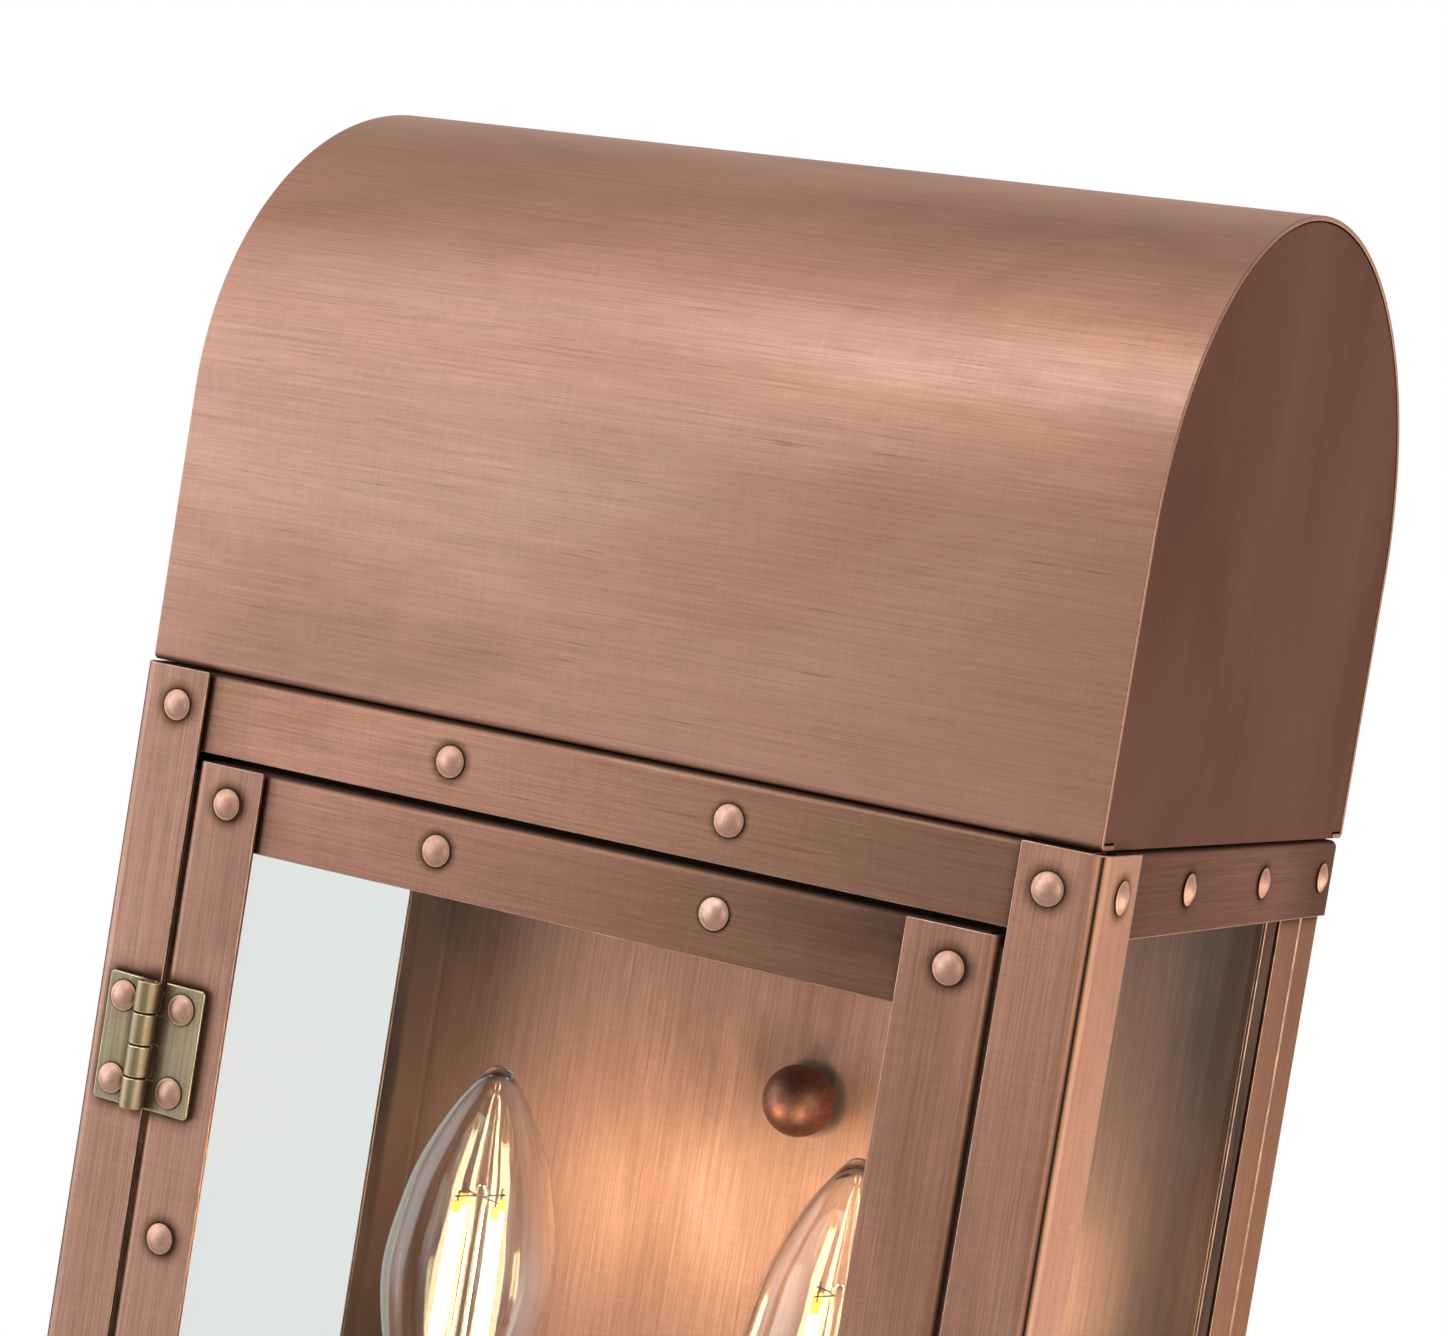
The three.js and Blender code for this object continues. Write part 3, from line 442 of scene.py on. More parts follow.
# the front posts carry painted shade on the faces behind their sheet
post_copper = brushed_metal("post_copper", "Z", 1.0, rings=POST_RINGS, shade_behind_posts=True)
stile_copper = brushed_metal("stile_copper", "Z", 1.0, rings=STILE_RINGS)
rear_post_copper = brushed_metal("rear_post_copper", "Z", 0.52, coat=0.1)
# painted shade towards the front rails' right-hand ends
rail_copper = brushed_metal(
    "rail_copper", "X", 1.16, ends=[RAIL_ENDS, RAIL_SHADE_FADE], rings=RAIL_RINGS, roughness=0.36, coat=0.4
)
# painted shade towards the door rails' right-hand ends
door_rail_copper = brushed_metal(
    "door_rail_copper", "X", 1.16, ends=[DOOR_ENDS, DOOR_SHADE_FADE], rings=DOOR_RAIL_RINGS,
    roughness=0.36, coat=0.4,
)
side_rail_copper = brushed_metal(
    "side_rail_copper", "Y", 0.74, ends=[SIDE_ENDS], rings=SIDE_RINGS, coat=0.05, finish=UMBER
)
# the back panel carries painted shade on its flanges and near its sides
panel_copper = brushed_metal(
    "panel_copper", "Z", 1.0, 0.7, [PANEL_FLANGE_SHADE, PANEL_SIDE_SHADE], roughness=0.52, coat=0.1, finish=PALE,
    metallic=0.7,
)
plate_copper = brushed_metal("plate_copper", "X", 0.6)
copper_edge = worn_edge("copper_edge", (0.74, 0.45, 0.33), 0.34)
rivet_copper = aged_metal("rivet_copper", (0.84, 0.50, 0.365), (0.68, 0.38, 0.27), 0.48)
turned_copper = aged_metal("turned_copper", (0.62, 0.33, 0.23), (0.40, 0.2, 0.14), 0.34, 500)
dark_copper = aged_metal("dark_copper", (0.40, 0.17, 0.11), (0.24, 0.10, 0.066), 0.48, 1100)
brass = brushed_metal("antique_brass", "Z", 0.9, roughness=0.36, finish=BRASS)
brass_edge = worn_edge("brass_edge", (0.86, 0.72, 0.42), 0.25)
wire_metal = aged_metal("wire_metal", (0.16, 0.13, 0.10), (0.08, 0.065, 0.05), 0.45)
steel = aged_metal("plated_steel", (0.48, 0.49, 0.51), (0.37, 0.38, 0.40), 0.38)
nickel = aged_metal("nickel_shell", (0.74, 0.71, 0.65), (0.52, 0.49, 0.44), 0.24, 500)
channel_copper = aged_metal("channel_copper", (0.075, 0.042, 0.03), (0.045, 0.028, 0.02), 0.8, 500)
ivory = moulded("candle_ivory", (0.86, 0.77, 0.60), 0.45)
phenolic = moulded("black_phenolic", (0.03, 0.028, 0.026), 0.42)
insulation = moulded("lead_insulation", (0.035, 0.032, 0.03), 0.5)
pane_glass = clear_pane("pane_glass", (0.935, 0.945, 0.94))
bulb_glass = glass("bulb_glass", (0.985, 0.985, 0.98), 0.02)
stem_glass = glass("stem_glass", (0.97, 0.96, 0.93), 0.05)
filament_glow = glowing("filament_glow", (1.0, 0.80, 0.5), 30.0, 0.85)
filament_end = glowing("filament_end", (1.0, 0.62, 0.08), 1.4, 0.6)


# ---- mesh helpers ----
PLANES = {"X": (1, 2, 0), "Y": (0, 2, 1), "Z": (0, 1, 2)}


def arc(cx, cy, rx, ry, start, end, steps):
    """Points round an ellipse, with its angles in degrees."""
    angles = (math.radians(start + (end - start) * i / steps) for i in range(steps + 1))
    return [(cx + rx * math.cos(a), cy + ry * math.sin(a)) for a in angles]


def angle_outline(flange_x, flange_y, sheet, radius):
    """The section of a folded angle with its corner at the origin, one flange to -x and one to +y."""
    inner = radius - sheet
    return [
        (-flange_x, 0),
        *arc(-radius, radius, radius, radius, -90, 0, 12),
        (0, flange_y),
        (-sheet, flange_y),
        *arc(-radius, radius, inner, inner, 0, -90, 8),
        (-flange_x, sheet),
    ]


def placed(outline, x, y, sx=1, sy=1):
    return [(x + sx * a, y + sy * b) for a, b in outline]


def shaded(mesh, angle):
    """Smooth shading that stays sharp where faces meet at more than the angle, in degrees."""
    for polygon in mesh.polygons:
        polygon.use_smooth = True
    mesh.set_sharp_from_angle(angle=math.radians(angle))


def linked(name, data):
    """A new object in the scene."""
    thing = bpy.data.objects.new(name, data)
    bpy.context.collection.objects.link(thing)
    return thing


def new_piece(name, bm, materials, body, node=None):
    """An object from a bmesh that rides on a body and stands for a CAD node."""
    bmesh.ops.recalc_face_normals(bm, faces=bm.faces)
    mesh = bpy.data.meshes.new(name)
    bm.to_mesh(mesh)
    bm.free()
    piece = linked(name, mesh)
    for material in materials:
        mesh.materials.append(material)
    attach(piece, body)
    if node:
        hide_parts(*([node] if isinstance(node, str) else node))
    return piece


def draw_out(bm, outline, axis, start, end):
    """Adds an outline drawn out along an axis. The outline lies in the other two axes, in their order."""
    u, v, w = PLANES[axis]
    rings = []
    for level in (start, end):
        ring = []
        for a, b in outline:
            point = [0.0, 0.0, 0.0]
            point[u], point[v], point[w] = a, b, level
            ring.append(bm.verts.new(point))
        rings.append(ring)
    count = len(outline)
    bm.faces.new(rings[0])
    bm.faces.new(rings[1])
    for i in range(count):
        j = (i + 1) % count
        bm.faces.new((rings[0][i], rings[0][j], rings[1][j], rings[1][i]))


def worn(piece, width=EDGE):
    """Rounds the sharp edges and gives the rounding the piece's second material."""
    bevel = piece.modifiers.new("edges", "BEVEL")
    bevel.width = width
    bevel.segments = 2
    bevel.limit_method = "ANGLE"
    bevel.angle_limit = math.radians(50)
    bevel.material = 1
    flat = piece.modifiers.new("flat_faces", "WEIGHTED_NORMAL")
    flat.keep_sharp = True
    for polygon in piece.data.polygons:
        polygon.use_smooth = True


def sheet_piece(name, outline, axis, start, end, material, body, edge=None):
    """A sheet with a fixed section, which stands for the CAD node of its name."""
    bm = bmesh.new()
    draw_out(bm, outline, axis, start, end)
    piece = new_piece(name, bm, [material, edge or copper_edge], body, name)
    worn(piece)
    return piece


def revolve(bm, profile, turn, sides):
    """Adds a surface turned about Z from (radius, z) points, moved by a matrix."""
    rings = []
    for radius, z in profile:
        if radius < 1e-7:
            rings.append([bm.verts.new(turn @ Vector((0, 0, z)))])
            continue
        steps = (2 * math.pi * i / sides for i in range(sides))
        points = [Vector((radius * math.cos(a), radius * math.sin(a), z)) for a in steps]
        rings.append([bm.verts.new(turn @ point) for point in points])
    for lower, upper in zip(rings, rings[1:]):
        for i in range(sides):
            j = (i + 1) % sides
            if len(lower) == 1 and len(upper) > 1:
                bm.faces.new((lower[0], upper[j], upper[i]))
            elif len(upper) == 1 and len(lower) > 1:
                bm.faces.new((lower[i], lower[j], upper[0]))
            elif len(lower) > 1:
                bm.faces.new((lower[i], lower[j], upper[j], upper[i]))


def turned_piece(name, profile, place, material, body, node=True, sides=56, sharp=40):
    bm = bmesh.new()
    revolve(bm, profile, Matrix.Translation(place), sides)
    piece = new_piece(name, bm, [material], body, name if node else None)
    shaded(piece.data, sharp)
    return piece


def above(base, *points):
    """(radius, z) points from pairs in millimetres, with heights measured from a base."""
    return [(radius * MM, base + height * MM) for radius, height in points]


def smooth_profile(points, steps):
    """A Catmull-Rom curve through (radius, z) points."""
    result = []
    for i in range(len(points) - 1):
        p0 = Vector(points[max(i - 1, 0)])
        p1, p2 = Vector(points[i]), Vector(points[i + 1])
        p3 = Vector(points[min(i + 2, len(points) - 1)])
        for k in range(steps):
            t = k / steps
            point = 0.5 * (
                2 * p1
                + (p2 - p0) * t
                + (2 * p0 - 5 * p1 + 4 * p2 - p3) * t**2
                + (3 * p1 - 3 * p2 + p3 - p0) * t**3
            )
            result.append((max(point.x, 0.0), point.y))
    result.append(tuple(points[-1]))
    return result


# ---- rivets ----
TOWARDS = {
    "front": Matrix.Rotation(math.radians(90), 4, "X"),
    "right": Matrix.Rotation(math.radians(90), 4, "Y"),
    "left": Matrix.Rotation(math.radians(-90), 4, "Y"),
}


def rivet_profile():
    """A shallow dome, cut from a larger sphere, on a short straight foot."""
    radius, height = RIVET_RADIUS, RIVET_HEIGHT
    sphere = (radius**2 + height**2) / (2 * height)
    rim = math.degrees(math.asin((sphere - height) / sphere))
    dome = arc(0, height - sphere, sphere, sphere, rim, 90, 9)
    dome[-1] = (0, height)
    lip = 0.25 * MM
    foot = [(radius * 0.96, -0.1 * MM), (radius * 0.99, lip * 0.4)]
    return foot + [(min(r, radius), max(z, lip)) for r, z in dome]


def rivets(name, places, body):
    """One piece with a domed head at each (point, side)."""
    bm = bmesh.new()
    for point, side in places:
        revolve(bm, rivet_profile(), Matrix.Translation(point) @ TOWARDS[side], 28)
    piece = new_piece(name, bm, [rivet_copper], body)
    shaded(piece.data, 60)


# ---- frame ----
def front_posts():
    outline = angle_outline(POST_FRONT, POST_SIDE, POST_SHEET, BEND)
    x = HALF - POST_RIVET_X
    y = FRONT + POST_RIVET_Y
    z = FRAME_RIVET_Z
    for side, sign in (("right", 1), ("left", -1)):
        name = "post_front_" + side
        sheet_piece(name, placed(outline, sign * HALF, FRONT, sign), "Z", -TOP, TOP, post_copper, "housing")
        places = [((sign * x, FRONT, level), "front") for level in (z, -z)]
        places += [((sign * HALF, y, level), side) for level in (z, -z)]
        rivets("rivets_" + name, places, "housing")


def rear_posts():
    for side, sign in (("right", 1), ("left", -1)):
        name = "post_rear_" + side
        low_corner, high_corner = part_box(name)
        outer = high_corner.x if sign > 0 else low_corner.x
        back = high_corner.x - low_corner.x
        depth = high_corner.y - low_corner.y
        outline = []
        for point in angle_outline(back, depth, STRIP_SHEET, BEND):
            if point == (0, depth):
                outline += [(0, REAR_STEP), (-REAR_STEP_DEPTH, REAR_STEP), (-REAR_STEP_DEPTH, depth)]
            else:
                outline.append(point)
        shape = placed(outline, outer, high_corner.y, sign, -1)
        sheet_piece(name, shape, "Z", low_corner.z, high_corner.z, rear_post_copper, "housing")


def front_rails():
    strip = angle_outline(RAIL_FLANGE, RAIL_HEIGHT, STRIP_SHEET, STRIP_BEND)
    lip = [
        (0, RAIL_HEIGHT),
        (-STOP_DEPTH, RAIL_HEIGHT),
        (-STOP_DEPTH, RAIL_HEIGHT + STOP_HEIGHT),
        (-STOP_DEPTH - STRIP_SHEET, RAIL_HEIGHT + STOP_HEIGHT),
        (-STOP_DEPTH - STRIP_SHEET, RAIL_HEIGHT - STRIP_SHEET),
        (0, RAIL_HEIGHT - STRIP_SHEET),
    ]
    for end, sign in (("top", 1), ("bottom", -1)):
        name = "rail_front_" + end
        outline = placed(strip, RAIL_FRONT, sign * TOP, -1, -sign)
        sheet_piece(name, outline, "X", -RAIL_REACH, RAIL_REACH, rail_copper, "housing")
        bm = bmesh.new()
        shape = placed(lip, RAIL_FRONT + 0.02 * MM, sign * TOP, -1, -sign)
        draw_out(bm, shape, "X", -STOP_REACH, STOP_REACH)
        worn(new_piece("door_stop_" + end, bm, [plate_copper] * 2, "housing"))
        z = sign * FRAME_RIVET_Z
        places = [((x, RAIL_FRONT, z), "front") for x in (-RIVET_SPREAD, RIVET_SPREAD)]
        rivets("rivets_" + name, places, "housing")


def side_rails():
    for side, across in (("right", 1), ("left", -1)):
        for end, up in (("top", 1), ("bottom", -1)):
            name = f"rail_side_{end}_{side}"
            shape = angle_outline(RAIL_FLANGE, RAIL_HEIGHT, STRIP_SHEET, STRIP_BEND)
            outline = placed(shape, across * RAIL_SIDE, up * TOP, across, -up)
            start = RAIL_FRONT + SIDE_RAIL_SETBACK
            sheet_piece(name, outline, "Y", start, RAIL_REAR, side_rail_copper, "housing")
            z = up * FRAME_RIVET_Z
            places = [((across * RAIL_SIDE, y, z), side) for y in SIDE_RIVETS]
            rivets("rivets_" + name, places, "housing")


def back_panel():
    name = "back_panel"
    lo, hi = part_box(name)
    front_face = hi.y - STRIP_SHEET
    inner, outer = FOLD_BEND - STRIP_SHEET, FOLD_BEND
    half = hi.x
    outline = [
        (half, lo.y),
        *arc(half - outer, hi.y - outer, outer, outer, 0, 90, 8),
        *arc(-half + outer, hi.y - outer, outer, outer, 90, 180, 8),
        (-half, lo.y),
        (-half + STRIP_SHEET, lo.y),
        *arc(-half + outer, front_face - inner, inner, inner, 180, 90, 6),
        *arc(half - outer, front_face - inner, inner, inner, 90, 0, 6),
        (half - STRIP_SHEET, lo.y),
    ]
    sheet_piece(name, outline, "Z", lo.z, hi.z, panel_copper, "housing")


# ---- hood ----
def hood_outline(inset):
    lo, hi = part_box("hood_shell")
    middle = (lo.y + hi.y) / 2
    spring = lo.z + HOOD_WALL
    rise = hi.z - spring
    return arc(middle, spring, (hi.y - lo.y) / 2 - inset, rise - inset, 0, 180, 96)


def hood():
    lo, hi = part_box("hood_shell")
    sheet, hem, corner = POST_SHEET, HOOD_HEM, HOOD_CORNER
    inner = corner - sheet
    outline = [
        (hi.y - hem, lo.z),
        *arc(hi.y - corner, lo.z + corner, corner, corner, -90, 0, 6),
        *hood_outline(0),
        *arc(lo.y + corner, lo.z + corner, corner, corner, 180, 270, 6),
        (lo.y + hem, lo.z),
        (lo.y + hem, lo.z + sheet),
        *arc(lo.y + corner, lo.z + corner, inner, inner, 270, 180, 3),
        *reversed(hood_outline(sheet)),
        *arc(hi.y - corner, lo.z + corner, inner, inner, 0, -90, 3),
        (hi.y - hem, lo.z + sheet),
    ]
    shell = sheet_piece("hood_shell", outline, "X", lo.x, hi.x, hood_copper, "housing", hood_copper)
    shell.modifiers["edges"].width = HOOD_EDGE
    shell.modifiers["edges"].segments = 4
    for side in ("left", "right"):
        name = "hood_end_" + side
        end_low, end_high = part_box(name)
        inset = sheet + GAP * 0.5
        notch = hem + GAP
        shape = [
            (hi.y - notch, end_low.z),
            (hi.y - notch, end_low.z + corner),
            (hi.y - inset, end_low.z + corner),
            *hood_outline(inset),
            (lo.y + inset, end_low.z + corner),
            (lo.y + notch, end_low.z + corner),
            (lo.y + notch, end_low.z),
        ]
        sheet_piece(name, shape, "X", end_low.x, end_high.x, hood_end_copper, "housing", hood_end_copper)


# ---- door ----
def door():
    for side, outer, width, sign in (
        ("right", DOOR_RIGHT, STILE_RIGHT, 1),
        ("left", DOOR_LEFT, STILE_LEFT, -1),
    ):
        name = "door_stile_" + side
        shape = placed(angle_outline(width, DOOR_FOLD, POST_SHEET, FOLD_BEND), outer, FRONT, sign)
        sheet_piece(name, shape, "Z", -DOOR_TOP, DOOR_TOP, stile_copper, "door")
        x = outer - sign * STILE_RIVET
        rivets("rivets_" + name, [((x, FRONT, z), "front") for z in door_rivet_heights()], "door")
    fold = high("door_rail_top").y - RAIL_FRONT
    for end, sign in (("top", 1), ("bottom", -1)):
        name = "door_rail_" + end
        lo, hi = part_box(name)
        strip = angle_outline(fold, DOOR_RAIL, STRIP_SHEET, STRIP_BEND)
        outline = placed(strip, RAIL_FRONT, sign * DOOR_TOP, -1, -sign)
        sheet_piece(name, outline, "X", lo.x, hi.x, door_rail_copper, "door")
        z = sign * (DOOR_TOP - DOOR_RIVET_INSET)
        places = [((x, RAIL_FRONT, z), "front") for x in (-RIVET_SPREAD, RIVET_SPREAD)]
        rivets("rivets_" + name, places, "door")


def door_knob():
    lo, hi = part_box("door_knob")
    length = hi.y - lo.y
    profile = [
        *above(0, (0, 0), (3.4, 0), (3.4, 0.8), (2.2, 1.5), (1.9, 2.6), (2.0, 4.0)),
        *arc(0, length - 4.2 * MM, 4.8 * MM, 4.2 * MM, -64, 90, 14),
    ]
    profile[-1] = (0, length)
    bm = bmesh.new()
    place = Vector((centre("door_knob").x, hi.y, centre("door_knob").z))
    revolve(bm, profile, Matrix.Translation(place) @ TOWARDS["front"], 48)
    piece = new_piece("door_knob", bm, [dark_copper], "door", "door_knob")
    shaded(piece.data, 50)


# ---- hinges ----
def hinge_leaf(end, part, sign):
    """The frame's leaf lies to -X of the pin, where sign is -1, and the door's leaf to +X."""
    name = f"hinge_leaf_{part}_{end}"
    lo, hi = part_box(name)
    plate_front = hi.y - HINGE_LEAF
    outer = lo.x if sign < 0 else hi.x
    clear = HINGE_X + sign * (HINGE_RADIUS + 0.5 * MM)
    middle = centre("hinge_pin_" + end).z
    bottom, top = middle - HINGE_HEIGHT / 2, middle + HINGE_HEIGHT / 2
    knuckle = HINGE_HEIGHT / KNUCKLES
    corner = 0.9 * MM
    x_out = outer - sign * corner
    rounded = [
        *arc(x_out, top - corner, sign * corner, corner, 90, 0, 4),
        *arc(x_out, bottom + corner, sign * corner, corner, 0, -90, 4),
    ]
    first = 1 if part == "frame" else 0
    starts = [bottom + i * knuckle + GAP / 2 for i in range(first, KNUCKLES, 2)]
    levels = [(z, z + knuckle - GAP) for z in starts]
    tip = HINGE_X + sign * 0.4 * MM
    tabs = []
    for z0, z1 in levels:
        tabs += [(clear, z0), (tip, z0), (tip, z1), (clear, z1)]
    if first:
        tabs = [(clear, bottom), *tabs]
    else:
        tabs = [*tabs, (clear, top)]
    bm = bmesh.new()
    draw_out(bm, rounded + tabs, "Y", plate_front, hi.y)
    bore = HINGE_PIN + 0.1 * MM
    for z0, z1 in levels:
        tube = [(bore, z0), (HINGE_RADIUS, z0), (HINGE_RADIUS, z1), (bore, z1), (bore, z0)]
        revolve(bm, tube, Matrix.Translation((HINGE_X, HINGE_Y, 0)), 32)
    bmesh.ops.remove_doubles(bm, verts=bm.verts, dist=1e-6)
    body = "housing" if part == "frame" else "door"
    piece = new_piece(name, bm, [brass, brass_edge], body, name)
    worn(piece, HINGE_EDGE)
    x = LEAF_RIVET_X[part]
    places = [((x, plate_front, middle + dz), "front") for dz in (-LEAF_RIVET_SPREAD, LEAF_RIVET_SPREAD)]
    rivets("rivets_" + name, places, body)


def hinges():
    for end in ("top", "bottom"):
        hinge_leaf(end, "frame", -1)
        hinge_leaf(end, "door", 1)
        name = "hinge_pin_" + end
        lo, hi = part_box(name)
        r = HINGE_PIN
        shaft = [(r, lo.z + 0.3 * MM), (r, hi.z - 0.3 * MM)]
        profile = [(0, lo.z), (r * 0.7, lo.z), *shaft, (r * 0.7, hi.z), (0, hi.z)]
        turned_piece(name, profile, (HINGE_X, HINGE_Y, 0), brass, "housing", sides=24)


# ---- wall fittings ----
def ball_nuts():
    for end in ("top", "bottom"):
        name = "ball_nut_" + end
        lo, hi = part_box(name)
        radius = (hi.z - lo.z) / 2
        seat = hi.y - lo.y - radius
        rim = -math.degrees(math.asin(seat / radius))
        ball = arc(0, 0, radius, radius, rim, 90, 26)
        ball[-1] = (0, radius)
        flat = -seat
        bm = bmesh.new()
        place = Vector((centre(name).x, lo.y + radius, centre(name).z))
        revolve(bm, [(0, flat), *ball], Matrix.Translation(place) @ TOWARDS["front"], 48)
        piece = new_piece(name, bm, [dark_copper], "housing", name)
        shaded(piece.data, 50)


# ---- lamp cluster ----
LAMPS = {"left": -1, "right": 1}


def cluster():
    middle = centre("cluster_hub")
    place = (middle.x, middle.y, 0)
    lo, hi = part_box("cluster_hub")
    waist = lo.z + 8 * MM
    profile = [
        (0, lo.z),
        (8.4 * MM, lo.z),
        *arc(9 * MM, waist, 5 * MM, 8 * MM, -90, 90, 16),
        (4.8 * MM, waist + 8.6 * MM),
        (4.2 * MM, waist + 9.6 * MM),
        *arc(0, waist + 14 * MM, 5 * MM, 5 * MM, -50, 90, 14),
    ]
    profile[-1] = (0, hi.z)
    turned_piece("cluster_hub", profile, place, turned_copper, "housing")
    lo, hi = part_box("cluster_stem")
    floor = high("floor_plate").z + GAP
    profile = [
        *above(lo.z, (0, 0), (5, 0)),
        *above(floor, (5, 0), (10, 0), (10, 1.6), (9.2, 3), (5.5, 5), (4.6, 9), (4.6, 13)),
        *above(hi.z, (6.5, -1.2), (6.2, 0), (0, 0)),
    ]
    turned_piece("cluster_stem", profile, place, turned_copper, "housing")


def tube_piece(name, points, radius, material, body, node):
    """A round tube along a smooth curve through the points."""
    data = bpy.data.curves.new(name, "CURVE")
    data.dimensions = "3D"
    data.bevel_depth = radius
    data.bevel_resolution = 5
    data.resolution_u = 16
    data.use_fill_caps = True
    line = data.splines.new("BEZIER")
    line.bezier_points.add(len(points) - 1)
    for knot, point in zip(line.bezier_points, points):
        knot.co = point
        knot.handle_left_type = "AUTO"
        knot.handle_right_type = "AUTO"
    data.materials.append(material)
    piece = linked(name, data)
    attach(piece, body)
    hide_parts(node)


def arms_and_candles():
    hub_z = low("cluster_hub").z + 8 * MM
    for side, sign in LAMPS.items():
        lamp = centre("lamp_socket_" + side)
        cup_low = low("candle_cup_" + side).z
        route = [(14.4, 0), (17, 0), (25, -5), (35, -4), (40.5, 4)]
        points = [(sign * x * MM, lamp.y, hub_z + z * MM) for x, z in route]
        points.append((lamp.x, lamp.y, cup_low - 0.7 * MM))
        name = "cluster_arm_" + side
        tube_piece(name, points, 3.6 * MM, turned_copper, "housing", name)
        seat = cup_low - 0.2 * MM
        collar = above(seat, (0, -3), (5.2, -3), (6, -2.2), (6, -0.6), (5.4, -0.1), (0, -0.1))
        place = (lamp.x, lamp.y, 0)
        turned_piece("arm_collar_" + side, collar, place, turned_copper, "housing", False)
        candle(side, lamp)


def candle(side, lamp):
    place = (lamp.x, lamp.y, 0)
    lo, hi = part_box("candle_cup_" + side)
    floor = low("candle_sleeve_" + side).z - GAP
    cup = [
        *above(lo.z, (0, 0), (6.4, 0), (7.4, 0.5), (11, 2.2)),
        *above(floor, (15, -1.5), (16.8, 1.3)),
        *above(hi.z, (17, -0.3), (16.4, 0), (15.8, -0.4)),
        *above(floor, (14, 0), (0, 0)),
    ]
    turned_piece("candle_cup_" + side, cup, place, turned_copper, "housing")
    lo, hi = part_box("candle_sleeve_" + side)
    outer = (hi.x - lo.x) / 2
    inner = outer - 0.9 * MM
    sleeve = [
        (inner, lo.z),
        (outer, lo.z),
        (outer, hi.z - 0.4 * MM),
        (outer - 0.25 * MM, hi.z),
        (inner + 0.2 * MM, hi.z),
        (inner, hi.z - 0.3 * MM),
        (inner, lo.z),
    ]
    turned_piece("candle_sleeve_" + side, sleeve, place, ivory, "housing")


def bulb_outline(neck, tip):
    """The candle bulb's outline from its neck to its tip."""
    belly = above(neck, (6.7, 0), (7.4, 3), (10.6, 10), (15, 20))
    flame = above(tip, (17.6, -44), (15.6, -29), (12.9, -19.6), (8.5, -10), (5.3, -5))
    return [*belly, *flame, *above(tip, (2.5, -1.2), (1.3, -0.3), (0, 0))]


def bulbs():
    for side in LAMPS:
        body = "bulb_" + side
        lo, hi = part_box("bulb_glass_" + side)
        lamp = centre("bulb_glass_" + side)
        place = (lamp.x, lamp.y, 0)
        outer = smooth_profile(bulb_outline(lo.z, hi.z), 6)
        inner = [(r - BULB_WALL, z) for r, z in outer if z < hi.z - 4 * MM]
        inner += above(hi.z, (2.9, -2.9), (1.8, -2.1), (0.8, -1.7), (0, -1.6))
        profile = [*outer[::-1], *inner]
        turned_piece("bulb_glass_" + side, profile, place, bulb_glass, body, sides=72, sharp=80)
        bulb_cap(side, place, body)
        bulb_inside(side, place, body, lo.z)


def bulb_cap(side, place, body):
    lo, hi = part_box("bulb_cap_" + side)
    thread = []
    turns, steps = 4, 8
    start, depth = lo.z + 4 * MM, 0.32 * MM
    for i in range(turns * steps + 1):
        swell = 0.5 - 0.5 * math.cos(2 * math.pi * i / steps)
        thread.append((5.9 * MM - depth * (1 - swell), start + THREAD_PITCH * i / steps))
    cap = [*above(lo.z, (0, 0), (3.2, 0), (5.4, 3)), *thread]
    cap += above(hi.z, (6.3, -0.9), (6.6, -0.6), (6.6, 0), (0, 0))
    turned_piece("bulb_cap_" + side, cap, place, nickel, body, sharp=60)


